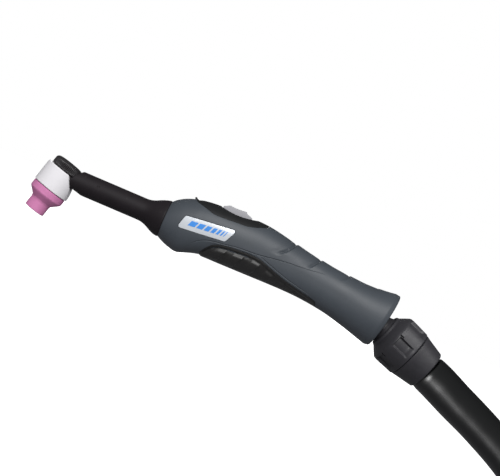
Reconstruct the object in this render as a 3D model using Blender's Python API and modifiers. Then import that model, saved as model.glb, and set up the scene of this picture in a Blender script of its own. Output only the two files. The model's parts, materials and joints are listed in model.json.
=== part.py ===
"""TIG welding torch with a large gas-lens front end and a ball-swivel cable exit.

The origin is the ground tip of the tungsten electrode, the tool's centre point.
+X runs along the neck towards the handle and the cable, +Z is the switch side.
The drawing dimensions below are millimetres measured from the point where the
head's axis crosses the neck's axis; at() moves them to the origin, in metres.
"""

import math
from collections import namedtuple

import bmesh
import bpy
from mathutils import Matrix, Vector

# ---------------------------------------------------------------- dimensions
MM = 0.001
HEAD_LEAN = math.radians(15.3)  # the nozzle points this far from -Z towards -X
TIP_TO_NECK = 32.5  # electrode tip to the neck's axis, along the head
CROSSING_X = TIP_TO_NECK * math.sin(HEAD_LEAN)
CROSSING_Z = TIP_TO_NECK * math.cos(HEAD_LEAN)

NOZZLE_BORE_R = 6.35
SHIELD_R = 14.1
CAP_R = 11.5
ELECTRODE_R = 1.2
NECK_R = 8.5
NECK_TUBE_R = 5.0
NECK_TUBE_BORE_R = 3.6
TUBE_LOW_Z = -4.6  # the neck tube's centre line where it enters the head
BOOT_R = 13.9

HANDLE_FRONT, HANDLE_REAR = 81.6, 257.7  # rear: centre of the sloping end face
REAR_SLOPE = math.radians(10.4)  # the end face looks this far below +X
TILT_START = 205  # the handle's sections lean back from here to the rear
WALL = 3.4
HALF_PARTING = 0.15  # from the middle plane to each shell's edge
POCKET_GAP = 0.3  # round and under the grips, badges and switch panel
INLAY_DEPTH = 1.4
BADGE_DEPTH, BADGE_SUNK = 1.2, 0.35
BADGE_INNER_Y = 4.0  # the badges are cut off this far from the middle plane
PANEL_DEPTH = 2.0
THROUGH = 40  # half length of cutters that pass right through the handle

PIN_X, PIN_Z = 143.5, 18.8  # trigger pivot
PIN_R, PIN_BORE_R = 1.0, 1.1
PLUNGER_X = 122.0
BUTTON_MID_X = 128.5
SCOOP_R, SCOOP_BOTTOM_Z = 53.6, 23.4  # hollow in the panel round the button

BALL_X, BALL_Z = 232.0, 0.7  # ball centre
BALL_R, BALL_BORE_R = 11.0, 7.0
SEAT_R, SEAT_FRONT, SEAT_BACK = 12.6, -8.4, 5.4  # ends from the ball's centre
SEAT_GAP = 0.3  # between seat ring and handle, and between ball and seat ring
CABLE_SLOPE = math.radians(20.4)  # the swivel's axis, below +X
NUT_MOUTH = 30.7  # ball centre to the nut's front edge
SHEATH_R, SHEATH_BORE_R, SHEATH_WALL = 14.2, 11.7, 2.5
POWER_RISE, CONTROL_RISE = -1.9, 4.9  # the cables' places above the sheath's centre line
CONTROL_R = 1.6

# the handle's back and belly: (x, z)
BACK = (
    (81, 13.0), (84, 15.9), (88, 18.6), (92, 20.6), (98, 22.6), (106, 24.2), (114, 25.0),
    (130, 25.4), (146, 25.9), (154, 25.5), (162, 24.4), (170, 22.9), (178, 21.4), (190, 19.4),
    (202, 17.7), (214, 16.5), (226, 15.7), (238, 15.5), (250, 16.3), (258, 17.5), (268, 19.2))
BELLY = (
    (81, -13.4), (84, -15.0), (88, -16.7), (92, -18.0), (96, -18.9), (100, -18.6),
    (105, -16.6), (110, -15.0), (116, -14.5), (130, -14.3), (150, -13.9), (176, -13.4),
    (190, -13.6), (202, -14.5), (214, -16.1), (226, -18.7), (238, -21.7), (250, -25.0),
    (262, -27.6))
# (x, half width)
HALF_WIDTH = (
    (81, 13.2), (86, 15.0), (94, 16.6), (104, 17.4), (130, 17.6), (160, 16.7),
    (190, 15.6), (212, 15.6), (230, 17.0), (248, 18.8), (266, 19.6))

# x of the sections the handle and its hollow are lofted through
HANDLE_SECTIONS_X = (82.6, 86, 90, 94, 98, 102, 106, 112, 122, 136, 150, 162, 176, 192, 208,
                     224, 240, 255.6)
HOLLOW_SECTIONS_X = (86, 94, 99, 106, 118, 148, 175, 206, 225)

# side views: (x, z)
GRIP_OUTLINE = [
    (114, -17), (114.6, -11.8), (117.6, -7.4), (121.2, -3.4), (126.5, -1.2), (132, -0.2),
    (140, 0.5), (147, 1.0), (152.8, 1.1), (157.6, 0.6), (163, -1.2), (171.5, -3.9),
    (180.5, -6.4), (191.4, -8.6), (201, -10.2), (206, -11.6), (207, -19)]
BADGE_OUTLINE = [
    (92.6, -1.0), (94.2, -1.4), (110, 0.2), (126, 2.0), (127.6, 2.9), (132.0, 11.2),
    (131.0, 12.5), (114, 10.7), (97.8, 8.4), (96.3, 7.4)]
PANEL_OUTLINE = [
    (96.6, 40), (97.4, 21.7), (99.5, 20.7), (104, 19.8), (108.5, 18.6), (113.3, 17.3),
    (120, 17.4), (130, 18.3), (139, 18.9), (144.5, 20.4), (149, 22.4), (154.4, 24.2), (155, 40)]

SCREWS = {"front": (94.0, -12.3), "middle": (172.0, 13.6), "rear": (212.0, -9.4)}  # x, z

# ---------------------------------------------------------------- scene
for old in list(bpy.data.objects):
    bpy.data.objects.remove(old, do_unlink=True)

parts = bpy.data.collections.new("tig_torch")
cutters = bpy.data.collections.new("cutters")
bpy.context.scene.collection.children.link(parts)
bpy.context.scene.collection.children.link(cutters)


def material(name, colour, roughness, metallic=0.0):
    mat = bpy.data.materials.new(name)
    mat.use_nodes = True
    bsdf = mat.node_tree.nodes["Principled BSDF"]
    bsdf.inputs["Base Color"].default_value = (*colour, 1.0)
    bsdf.inputs["Roughness"].default_value = roughness
    bsdf.inputs["Metallic"].default_value = metallic
    mat.diffuse_color = (*colour, 1.0)
    return mat


PINK = material("pink_alumina", colour=(0.60, 0.17, 0.40), roughness=0.55)
WHITE = material("white_ptfe", colour=(0.80, 0.79, 0.80), roughness=0.45)
RUBBER = material("black_rubber", colour=(0.022, 0.022, 0.024), roughness=0.6)
PHENOLIC = material("black_phenolic", colour=(0.02, 0.02, 0.022), roughness=0.5)
SLATE = material("slate_soft_touch", colour=(0.075, 0.09, 0.105), roughness=0.55)
GRIP = material("dark_grip", colour=(0.02, 0.023, 0.027), roughness=0.4)
BADGE = material("badge_plate", colour=(0.62, 0.64, 0.67), roughness=0.35)
PANEL = material("black_panel", colour=(0.018, 0.019, 0.021), roughness=0.45)
BUTTON = material("grey_button", colour=(0.42, 0.44, 0.46), roughness=0.5)
CHARCOAL = material("charcoal_nylon", colour=(0.05, 0.05, 0.056), roughness=0.6)
SHEATH = material("sheath_rubber", colour=(0.016, 0.016, 0.018), roughness=0.35)
BRASS = material("brass", colour=(0.72, 0.52, 0.20), roughness=0.3, metallic=1.0)
COPPER = material("copper", colour=(0.80, 0.40, 0.25), roughness=0.3, metallic=1.0)
STEEL = material("steel", colour=(0.55, 0.56, 0.58), roughness=0.35, metallic=1.0)
TUNGSTEN = material("tungsten", colour=(0.42, 0.42, 0.44), roughness=0.4, metallic=1.0)
WIRE_RED = material("wire_red", colour=(0.45, 0.02, 0.02), roughness=0.5)
WIRE_BLACK = material("wire_black", colour=(0.02, 0.02, 0.02), roughness=0.5)
ACETAL = material("acetal", colour=(0.55, 0.53, 0.48), roughness=0.45)


# ---------------------------------------------------------------- axes
def at(x, y, z):
    """A point of the drawing, in metres from the electrode's tip."""
    return Vector(((CROSSING_X + x) * MM, y * MM, (CROSSING_Z + z) * MM))


def axis_frame(x, z, below):
    """A frame whose local Z points along +X, turned down by the given angle."""
    return Matrix.Translation(at(x, 0, z)) @ Matrix.Rotation(math.pi / 2 + below, 4, "Y")


def empty(name, frame):
    obj = bpy.data.objects.new(name, None)
    obj.empty_display_size = 0.01
    obj.matrix_world = frame
    parts.objects.link(obj)
    return obj


HEAD_FRAME = Matrix.Rotation(HEAD_LEAN, 4, "Y")  # local Z runs up the head from the tip
SWIVEL_FRAME = axis_frame(BALL_X, BALL_Z, CABLE_SLOPE)
HEAD = empty("head_axis", HEAD_FRAME)
NECK = empty("neck_axis", axis_frame(0, 0, 0.0))
# through the ball, square to the handle's end face
REAR = empty("handle_rear_axis", axis_frame(BALL_X, BALL_Z, REAR_SLOPE))
SWIVEL = empty("swivel_axis", SWIVEL_FRAME)
TRIGGER = empty("trigger_axis", Matrix.Translation(at(PIN_X, 0, PIN_Z)))


# ---------------------------------------------------------------- building helpers
# Every helper that takes a material makes a hidden cutter when it is None.
def add(name, mesh, mat=None, frame=None, axis=None):
    """An object standing at a frame, or hung on the origin of an axis empty."""
    obj = bpy.data.objects.new(name, mesh)
    if mat is None:
        cutters.objects.link(obj)
        obj.hide_render = True
        obj.display_type = "WIRE"
    else:
        parts.objects.link(obj)
        mesh.materials.append(mat)
    if axis is not None:
        obj.parent = axis
    elif frame is not None:
        obj.matrix_world = frame
    return obj


def mesh_from(name, bm):
    mesh = bpy.data.meshes.new(name)
    bm.to_mesh(mesh)
    bm.free()
    return mesh


def turned(name, profile, mat=None, axis=None, steps=32):
    """A solid of revolution about local Z.

    profile is (radius, height) in mm, travelled either way. It starts and ends
    on the axis, or keeps clear of it and makes a ring.
    """
    area = sum(a[0] * b[1] - b[0] * a[1] for a, b in zip(profile, profile[1:] + profile[:1]))
    if area > 0:
        profile = profile[::-1]
    bm = bmesh.new()
    verts = [bm.verts.new((radius * MM, 0, z * MM)) for radius, z in profile]
    for a, b in zip(verts, verts[1:]):
        bm.edges.new((a, b))
    if all(radius > 1e-6 for radius, _ in profile):
        bm.edges.new((verts[-1], verts[0]))
    obj = add(name, mesh_from(name, bm), mat, axis=axis)
    screw = obj.modifiers.new("turn", "SCREW")
    screw.steps = screw.render_steps = steps
    screw.use_merge_vertices = True
    screw.merge_threshold = 0.000001
    screw.use_smooth_shade = True
    return obj


def block(name, size, frame, mat=None):
    """A box centred on a frame; size is a vector in metres."""
    bm = bmesh.new()
    bmesh.ops.create_cube(bm, size=1.0)
    bmesh.ops.scale(bm, vec=size, verts=bm.verts)
    return add(name, mesh_from(name, bm), mat, frame)


def box(name, low, high, mat=None):
    """A box between two corners of the drawing."""
    a, b = at(*low), at(*high)
    return block(name, b - a, Matrix.Translation((a + b) / 2), mat)


def rod(name, start, end, radius, mat=None, segments=24):
    """A cylinder between two points of the drawing."""
    a, b = at(*start), at(*end)
    bm = bmesh.new()
    bmesh.ops.create_cone(bm, cap_ends=True, segments=segments, radius1=radius * MM,
                          radius2=radius * MM, depth=(b - a).length)
    turn = Vector((0, 0, 1)).rotation_difference(b - a).to_matrix().to_4x4()
    return add(name, mesh_from(name, bm), mat, Matrix.Translation((a + b) / 2) @ turn)


def cross_rod(name, x, z, half, radius, mat=None, segments=20):
    """A cylinder along Y, reaching equally to both sides."""
    return rod(name, (x, -half, z), (x, half, z), radius, mat, segments)


def as_mesh(name, curve_obj, mat):
    """The curve's own mesh with its caps welded, in the curve's place."""
    bpy.context.view_layer.update()
    graph = bpy.context.evaluated_depsgraph_get()
    mesh = bpy.data.meshes.new_from_object(curve_obj.evaluated_get(graph))
    bm = bmesh.new()
    bm.from_mesh(mesh)
    bmesh.ops.remove_doubles(bm, verts=bm.verts, dist=0.000002)
    bmesh.ops.recalc_face_normals(bm, faces=bm.faces)
    bm.to_mesh(mesh)
    bm.free()
    mesh.materials.clear()
    where = curve_obj.matrix_world.copy()
    bpy.data.objects.remove(curve_obj, do_unlink=True)
    return add(name, mesh, mat, where)


def tube(name, points, radius, mat=None, resolution=4):
    """points are (x, y, z) or (x, y, z, radius factor) of the drawing."""
    curve = bpy.data.curves.new(name, "CURVE")
    curve.dimensions = "3D"
    curve.bevel_depth = radius * MM
    curve.bevel_resolution = resolution
    curve.use_fill_caps = True
    curve.twist_mode = "Z_UP"
    line = curve.splines.new("POLY")
    line.points.add(len(points) - 1)
    for target, source in zip(line.points, points):
        target.co = (*at(*source[:3]), 1.0)
        target.radius = source[3] if len(source) > 3 else 1.0
    obj = bpy.data.objects.new(name + "_path", curve)
    parts.objects.link(obj)
    return as_mesh(name, obj, mat)


def flat_prism(name, outline, half, mat=None):
    """An XZ outline, extruded to both sides of the middle plane."""
    curve = bpy.data.curves.new(name, "CURVE")
    curve.dimensions = "2D"
    curve.fill_mode = "BOTH"
    curve.extrude = half * MM
    line = curve.splines.new("POLY")
    line.points.add(len(outline) - 1)
    for target, (x, z) in zip(line.points, outline):
        target.co = ((CROSSING_X + x) * MM, (CROSSING_Z + z) * MM, 0, 1)
    line.use_cyclic_u = True
    obj = bpy.data.objects.new(name + "_outline", curve)
    obj.matrix_world = Matrix.Rotation(math.pi / 2, 4, "X")
    parts.objects.link(obj)
    return as_mesh(name, obj, mat)


def boolean(obj, other, operation):
    mod = obj.modifiers.new(operation.lower() + "_" + other.name, "BOOLEAN")
    mod.operation = operation
    mod.object = other
    mod.solver = "EXACT"


def cut(obj, *tools):
    for tool in tools:
        boolean(obj, tool, "DIFFERENCE")


def grown(outline, by):
    """The outline moved outwards by a margin."""
    count = len(outline)
    area = sum(a[0] * b[1] - b[0] * a[1] for a, b in zip(outline, outline[1:] + outline[:1]))
    sign = 1 if area > 0 else -1
    result = []
    for i in range(count):
        before, here, after = (Vector(outline[j % count]) for j in (i - 1, i, i + 1))
        arrive, leave = (here - before).normalized(), (after - here).normalized()
        normal_in = Vector((arrive.y, -arrive.x)) * sign
        normal_out = Vector((leave.y, -leave.x)) * sign
        mitre = (normal_in + normal_out).normalized()
        step = by / max(0.5, mitre.dot(normal_in))
        result.append((here.x + mitre.x * step, here.y + mitre.y * step))
    return result


# ---------------------------------------------------------------- handle shape
# An upright superellipse: centre, lean of its top towards +X, and exponent.
Section = namedtuple("Section", "x z tilt half_height half_width exponent")


def clamp01(value):
    return max(0.0, min(1.0, value))


def interpolate(rows, x):
    """A smooth curve (cubic Hermite) through (x, value) rows, level beyond the ends."""
    if x <= rows[0][0]:
        return rows[0][1]
    if x >= rows[-1][0]:
        return rows[-1][1]
    i = max(k for k in range(len(rows) - 1) if rows[k][0] <= x)

    def slope(k):
        a, b = rows[max(k - 1, 0)], rows[min(k + 1, len(rows) - 1)]
        return (b[1] - a[1]) / (b[0] - a[0])

    (x0, y0), (x1, y1) = rows[i], rows[i + 1]
    width = x1 - x0
    t = (x - x0) / width
    return ((2 * t**3 - 3 * t**2 + 1) * y0 + (t**3 - 2 * t**2 + t) * width * slope(i)
            + (3 * t**2 - 2 * t**3) * y1 + (t**3 - t**2) * width * slope(i + 1))


def roundness(x):
    """Superellipse exponent: round at the ends, fuller in the middle."""
    return 2.0 + 0.45 * clamp01((x - 82) / 20) * clamp01((262 - x) / 40)


def section(x, inset=0.0):
    """The handle's section through x at mid height, drawn in by an inset."""
    tilt = REAR_SLOPE * clamp01((x - TILT_START) / (HANDLE_REAR - TILT_START))
    mid_z = (interpolate(BACK, x) + interpolate(BELLY, x)) / 2
    ends = []
    for rows, sign in ((BACK, 1), (BELLY, -1)):
        reach = abs(interpolate(rows, x) - mid_z)
        for _ in range(6):  # closes in on where the leaning section meets the outline
            here = x + sign * reach * math.sin(tilt)
            reach = abs(interpolate(rows, here) - mid_z) / math.cos(tilt)
        ends.append(sign * reach)
    shift = (ends[0] + ends[1]) / 2
    return Section(x=x + shift * math.sin(tilt), z=mid_z + shift * math.cos(tilt), tilt=tilt,
                   half_height=(ends[0] - ends[1]) / 2 - inset,
                   half_width=interpolate(HALF_WIDTH, x) - inset, exponent=roundness(x))


def ring_point(sec, angle):
    def swell(value):
        return math.copysign(abs(value) ** (2 / sec.exponent), value)

    y = sec.half_width * swell(math.cos(angle))
    up = sec.half_height * swell(math.sin(angle))
    return at(sec.x + up * math.sin(sec.tilt), y, sec.z + up * math.cos(sec.tilt))


def loft(name, sections, mat=None, around=24):
    """A closed skin over unlike superellipse sections."""
    bm = bmesh.new()
    rings = [[bm.verts.new(ring_point(sec, 2 * math.pi * k / around)) for k in range(around)]
             for sec in sections]
    for a, b in zip(rings, rings[1:]):
        for k in range(around):
            after = (k + 1) % around
            bm.faces.new((a[k], a[after], b[after], b[k]))
    bm.faces.new(rings[0][::-1])
    bm.faces.new(rings[-1])
    bmesh.ops.recalc_face_normals(bm, faces=bm.faces)
    return add(name, mesh_from(name, bm), mat)


def handle_skin(name, inset=0.0, mat=None):
    """The whole handle as one solid, with its two end edges broken."""
    def narrowed(sec, by):
        return sec._replace(half_height=sec.half_height - by, half_width=sec.half_width - by)

    nose = narrowed(section(HANDLE_FRONT + 0.4, inset), 0.7)._replace(x=HANDLE_FRONT)
    body = [section(x, inset) for x in HANDLE_SECTIONS_X]
    tail = narrowed(section(HANDLE_REAR, inset), 2.2)
    return loft(name, [nose, *body, tail], mat)


def halved(obj, side, gap=HALF_PARTING):
    """Keeps one side of the middle plane: side +1 is +Y, -1 is -Y."""
    bm = bmesh.new()
    bm.from_mesh(obj.data)
    sliced = bmesh.ops.bisect_plane(
        bm, geom=bm.verts[:] + bm.edges[:] + bm.faces[:], dist=1e-7,
        plane_co=(0, side * gap * MM, 0), plane_no=(0, side, 0), clear_inner=True)
    edges = [e for e in sliced["geom_cut"] if isinstance(e, bmesh.types.BMEdge)]
    bmesh.ops.holes_fill(bm, edges=edges)
    bmesh.ops.recalc_face_normals(bm, faces=bm.faces)
    bm.to_mesh(obj.data)
    bm.free()
    return obj


def side_reach(x, z):
    """How far out from the middle plane the handle's side lies at x, z."""
    sec = section(x)
    height = min(1.0, abs((z - sec.z) / sec.half_height))
    return sec.half_width * (1 - height ** sec.exponent) ** (1 / sec.exponent)


# ---------------------------------------------------------------- front end
turned("ceramic_nozzle", [
    (12.9, 17.9), (13.4, 17.4), (13.4, 12.9), (12.7, 12.0), (8.2, 7.8), (7.8, -0.6),
    (7.5, -1.0), (NOZZLE_BORE_R, -1.0), (NOZZLE_BORE_R, 8.3), (10.9, 12.4), (10.9, 17.9)],
    PINK, HEAD, 28)

turned("gas_lens_body", [
    (4.9, 24.3), (4.9, 19.5), (7.0, 19.5), (7.0, 17.2), (10.5, 17.0), (10.5, 13.2),
    (9.6, 13.2), (9.6, 15.4), (3.0, 15.4), (3.0, 11.6), (1.5, 11.6), (1.5, 17.6),
    (2.2, 18.3), (2.2, 24.3)], BRASS, HEAD, 16)

turned("gas_lens_screen", [(3.3, 14.3), (9.3, 14.3), (9.3, 13.7), (3.3, 13.7)],
       STEEL, HEAD, 16)

turned("collet", [(1.9, 33.7), (1.9, 18.7), (1.5, 18.4), (1.35, 18.4), (1.35, 33.7)],
       COPPER, HEAD, 12)

turned("tungsten_electrode", [
    (0, 41.0), (ELECTRODE_R, 41.0), (ELECTRODE_R, 4.2), (0.45, 0.0), (0, 0.0)],
    TUNGSTEN, HEAD, 12)

shield = turned("heat_shield", [
    (SHIELD_R - 0.4, 35.0), (SHIELD_R, 34.6), (SHIELD_R, 18.6), (SHIELD_R - 0.4, 18.2),
    (7.4, 18.2), (7.4, 19.5), (11.1, 19.5), (11.1, 35.0)], WHITE, HEAD, 28)
# the neck side is sliced off along a slant from 25.9 mm up the head
SLANT_CUBE = 60
slant_angle = math.atan2(9.1, 6.7)
slant = block(
    "shield_slant", Vector((SLANT_CUBE,) * 3) * MM,
    HEAD_FRAME @ Matrix.Translation(Vector((12.7, 0, 25.9)) * MM)
    @ Matrix.Rotation(slant_angle - math.pi / 2, 4, "Y")
    @ Matrix.Translation((SLANT_CUBE / 2 * MM, 0, 0)))
shield_neck_room = turned("shield_neck_room", [
    (0, 40), (NECK_R + 0.4, 40), (NECK_R + 0.4, 0), (0, 0)], None, NECK, 20)
cut(shield, slant, shield_neck_room)

core = turned("head_core", [(7.3, 33.2), (7.3, 19.9), (5.2, 19.9), (5.2, 33.2)],
              BRASS, HEAD, 20)
cut(core, rod("core_gas_way", (2, 0, TUBE_LOW_Z), (12, 0, TUBE_LOW_Z), 1.9))


# ---------------------------------------------------------------- neck
def neck_line(radius, start, end, slack=0.0):
    """The neck's centre line, narrower and set low at the head to pass under the cap.

    slack is a clearance kept constant while the radius shrinks.
    """
    stops = (  # x, z, share of the full radius
        (start, TUBE_LOW_Z, 0.58), (13.5, TUBE_LOW_Z, 0.58), (18.5, -3.3, 0.74),
        (24, -1.0, 0.94), (29, 0.0, 1.0), (end, 0.0, 1.0))
    return [(x, 0, z, (share * radius + slack) / (radius + slack)) for x, z, share in stops]


neck_tube = tube("neck_tube", neck_line(NECK_TUBE_R, 3, 150), NECK_TUBE_R, COPPER, 3)
core_room = turned("core_room", [(0, 40), (7.65, 40), (7.65, 15), (0, 15)], None, HEAD, 20)
cut(neck_tube, core_room,
    tube("neck_tube_bore", neck_line(NECK_TUBE_BORE_R, 1, 155), NECK_TUBE_BORE_R, None, 2))

overmould = turned("head_neck_overmould", [
    (0, 104), (NECK_R, 104), (NECK_R, 81.3), (BOOT_R - 0.6, 81.2), (BOOT_R, 80.2),
    (12.5, 75.5), (10.3, 70.5), (9.0, 67.3), (NECK_R, 64.5), (NECK_R, 4), (0, 4)],
    RUBBER, NECK, 24)
head_drum = turned("head_drum", [(0, 34.7), (10.7, 34.7), (10.7, 19.9), (0, 19.9)],
                   None, HEAD, 24)
boolean(overmould, head_drum, "UNION")
TUBE_SLACK = 0.35
overmould_bore = tube("overmould_bore", neck_line(NECK_TUBE_R, 1, 112, TUBE_SLACK),
                      NECK_TUBE_R + TUBE_SLACK, None, 3)
cap_room = turned("cap_room", [
    (0, 60), (CAP_R + 0.4, 60), (CAP_R + 0.4, 34.9), (0, 34.9)], None, HEAD, 24)
# leaves a flat underside beside the head, square to the head's axis
neck_underside = turned("neck_underside", [(10.9, 28.6), (40, 28.6), (40, 0), (10.9, 0)],
                        None, HEAD, 24)
cut(overmould, core_room, overmould_bore, cap_room, neck_underside)

# ---------------------------------------------------------------- back cap
turned("back_cap", [
    (0, 42.4), (8.0, 42.3), (CAP_R - 1.4, 42.0), (CAP_R - 0.4, 41.2), (CAP_R, 40.0),
    (CAP_R, 35.9), (CAP_R - 0.5, 35.3), (4.9, 35.3), (4.9, 27.6), (2.3, 27.6), (2.3, 34.0),
    (1.6, 34.0), (1.6, 41.4), (0, 41.4)], PHENOLIC, HEAD, 24)

ORING_R, ORING_Z, ORING_WIRE_R = 6.2, 34.2, 0.7
turned("back_cap_oring", [
    (ORING_R + ORING_WIRE_R * math.cos(a), ORING_Z + ORING_WIRE_R * math.sin(a))
    for a in (math.pi / 3 * k for k in range(6))], RUBBER, HEAD, 16)


# ---------------------------------------------------------------- handle cutters
def facing_tools(name, skin_name, outline, depth):
    """Tools for a facing let into the handle: its outline, its underside, its pocket."""
    prism = flat_prism(f"{name}_prism", outline, THROUGH)
    under = handle_skin(f"skin_under_{skin_name}", depth)
    room = flat_prism(f"{name}_room", grown(outline, POCKET_GAP), THROUGH)
    cut(room, handle_skin(f"skin_under_{skin_name}_pocket", depth + POCKET_GAP))
    return prism, under, room


def trimmed(facing, prism, under):
    """Cuts a handle skin down to the facing's outline and thickness."""
    boolean(facing, prism, "INTERSECT")
    cut(facing, under)
    return facing


grip_prism, under_grip, grip_room = facing_tools("grip", "inlay", GRIP_OUTLINE, INLAY_DEPTH)
badge_prism, under_badge, badge_room = facing_tools(
    "badge", "badge", BADGE_OUTLINE, BADGE_SUNK + BADGE_DEPTH)
panel_prism, under_panel, panel_room = facing_tools(
    "panel", "panel", PANEL_OUTLINE, PANEL_DEPTH)
handle_skin("skin_badge_face", BADGE_SUNK)  # reference skin in the cutters collection

hollow = loft("handle_hollow", [section(x, WALL) for x in HOLLOW_SECTIONS_X], None, 16)
module_room = box("module_room", (100.1, -8.9, 13.7), (149.9, 8.9, 45))
neck_hole = turned("handle_neck_hole", [
    (0, 95), (NECK_R + 0.35, 95), (NECK_R + 0.35, 70), (0, 70)], None, NECK, 20)
seat_room = turned("swivel_seat_room", [
    (0, 32), (17.6, 32), (16.2, 26.2), (11.7, 8.0), (11.7, SEAT_BACK + SEAT_GAP),
    (SEAT_R + SEAT_GAP, SEAT_BACK + SEAT_GAP), (SEAT_R + SEAT_GAP, SEAT_FRONT - SEAT_GAP),
    (0, SEAT_FRONT - SEAT_GAP)], None, REAR, 24)


# ---------------------------------------------------------------- handle halves
def add_boss(shell, side, word, which, x, z):
    """A screw boss on the shell's inside, with its hole."""
    reach = side_reach(x, z)
    around = [k * math.pi / 12 for k in range(24)]
    # the boss ends inside the skin all round its rim
    rim = min(side_reach(x + 3.0 * math.cos(a), z + 3.0 * math.sin(a)) for a in around)
    boss_end = side * min(reach - 1.3, rim - 0.5)
    boss = rod(f"boss_{which}_{word}", (x, side * 0.16, z), (x, boss_end, z), 2.9, None, 16)
    boolean(shell, boss, "UNION")
    if side < 0:
        cut(shell, rod(f"pilot_{which}", (x, 1, z), (x, -(reach - 3.2), z), 1.5, None, 12))
    else:
        cut(shell,
            rod(f"clearance_{which}", (x, -1, z), (x, reach + 3, z), 1.55, None, 12),
            rod(f"head_sink_{which}", (x, reach - 2.8, z), (x, reach + 6, z), 3.15, None, 16))


def handle_shell(side, word):
    shell = halved(handle_skin(f"handle_{word}", 0.0, SLATE), side)
    cut(shell, hollow, neck_hole, seat_room)
    for which, (x, z) in SCREWS.items():
        add_boss(shell, side, word, which, x, z)
    cut(shell, grip_room, badge_room, panel_room, module_room)


def handle_screw(which, x, z):
    """A screw along Y with its head on the +Y side."""
    reach = side_reach(x, z)
    seat = reach - 2.5
    screw = turned(f"handle_screw_{which}", [
        (0, seat + 1.9), (1.9, seat + 1.9), (2.75, seat + 1.1), (2.75, seat), (1.2, seat),
        (1.2, 4.4 - reach), (0, 3.8 - reach)], STEEL, steps=16)
    screw.matrix_world = Matrix.Translation(at(x, 0, z)) @ Matrix.Rotation(-math.pi / 2, 4, "X")


for side, word in ((-1, "left"), (1, "right")):
    handle_shell(side, word)
    trimmed(halved(handle_skin(f"grip_inlay_{word}", 0.0, GRIP), side),
            grip_prism, under_grip)
    trimmed(halved(handle_skin(f"badge_{word}", BADGE_SUNK, BADGE), side, BADGE_INNER_Y),
            badge_prism, under_badge)

for which, (x, z) in SCREWS.items():
    handle_screw(which, x, z)

# ---------------------------------------------------------------- switch module
panel = trimmed(handle_skin("switch_panel", 0.0, PANEL), panel_prism, under_panel)
plug = box("module_plug", (100.4, -8.6, 14.0), (149.6, 8.6, 45))
boolean(plug, handle_skin("plug_skin", 0.9), "INTERSECT")
boolean(panel, plug, "UNION")
cut(panel,
    box("module_cavity", (102.2, -6.9, 15.2), (147.8, 6.9, 21.3)),
    box("button_window", (116.4, -6.0, 18.0), (140.3, 6.0, 45)),
    cross_rod("button_scoop", BUTTON_MID_X, SCOOP_BOTTOM_Z + SCOOP_R, THROUGH, SCOOP_R,
              segments=64),
    cross_rod("pin_bore", PIN_X, PIN_Z, 12, PIN_BORE_R),
    box("wire_slot", (145, -5.6, 15.0), (152, 5.6, 16.9)))

# the button's outline (x, z), with a round eye under and behind the pivot
EYE_R = 2.0
eye = [(PIN_X + EYE_R * math.cos(math.radians(a)), PIN_Z + EYE_R * math.sin(math.radians(a)))
       for a in range(-115, 91, 23)]
button_outline = [
    (115.2, 19.7), (118.6, 19.7), (118.6, 22.3), (137.2, 22.3), (137.2, 17.6), *eye,
    (139.9, 20.8), (139.9, 25.4), (138.6, 26.2), (135.7, 27.0), (134.3, 28.1), (131, 28.1),
    (126, 27.8), (121, 27.6), (119.0, 26.6), (117.2, 25.6), (117.2, 21.0), (115.2, 21.0)]
button = flat_prism("trigger_button", button_outline, 5.6, BUTTON)
cut(button, cross_rod("button_bore", PIN_X, PIN_Z, 12, PIN_BORE_R))
# the button's origin goes to the pivot, so that it turns with the trigger's empty
bpy.context.view_layer.update()
button.data.transform(TRIGGER.matrix_world.inverted() @ button.matrix_world)
button.matrix_world = Matrix.Identity(4)
button.parent = TRIGGER
cross_rod("trigger_pivot_pin", PIN_X, PIN_Z, 8.4, PIN_R, STEEL)

switch = box("microswitch_body", (119.4, -2.9, 15.5), (130.2, 2.9, 21.0), WIRE_BLACK)
cut(switch, rod("plunger_hole", (PLUNGER_X, 0, 18.2), (PLUNGER_X, 0, 24), 1.2, None, 16))
rod("microswitch_plunger", (PLUNGER_X, 0, 19.6), (PLUNGER_X, 0, 22.0), 0.9, ACETAL, 16)

SPRING_X, SPRING_BASE_Z, SPRING_HEIGHT, SPRING_R = 133.9, 15.85, 5.8, 1.8
TURNS, POINTS_PER_TURN = 4, 8
coil = [(SPRING_X + SPRING_R * math.cos(2 * math.pi * k / POINTS_PER_TURN),
         SPRING_R * math.sin(2 * math.pi * k / POINTS_PER_TURN),
         SPRING_BASE_Z + SPRING_HEIGHT * k / (TURNS * POINTS_PER_TURN))
        for k in range(TURNS * POINTS_PER_TURN + 1)]
tube("trigger_spring", coil, 0.25, STEEL, 1)

WIRE_LINE = (  # x, distance from the middle plane, z
    (127, 3.7, 16.0), (132, 4.2, 15.9), (150.5, 4.2, 15.9), (153, 3.4, 14.0),
    (156.5, 0.9, 11.6))
for side, word, mat in ((-1, "a", WIRE_RED), (1, "b", WIRE_BLACK)):
    tube(f"switch_wire_{word}", [(x, side * y, z) for x, y, z in WIRE_LINE], 0.5, mat, 1)

# ---------------------------------------------------------------- inside the handle
turned("power_cable_connector", [
    (6.9, 162), (6.9, 146), (5.35, 146), (5.35, 150.4), (2.0, 150.4), (2.0, 190), (3.0, 190),
    (3.1, 172), (5.4, 172), (5.4, 162)], BRASS, NECK, 12)
turned("power_cable_lead", [(4.6, 218), (4.6, 172.4), (3.45, 172.4), (3.45, 218)],
       WIRE_BLACK, NECK, 20)
tube("control_cable_lead", [
    (157.4, 0, 10.6), (165, 0, 9.3), (172, 0, 8.5), (182, 0, 7.2), (217, 0, 7.0)],
    CONTROL_R, WIRE_BLACK, 2)


# ---------------------------------------------------------------- swivel
def ball_arc(radius, start, end, count):
    """(radius, height) points on a sphere about the ball's centre."""
    heights = [start + (end - start) * k / (count - 1) for k in range(count)]
    return [(math.sqrt(radius**2 - height**2), height) for height in heights]


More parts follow.
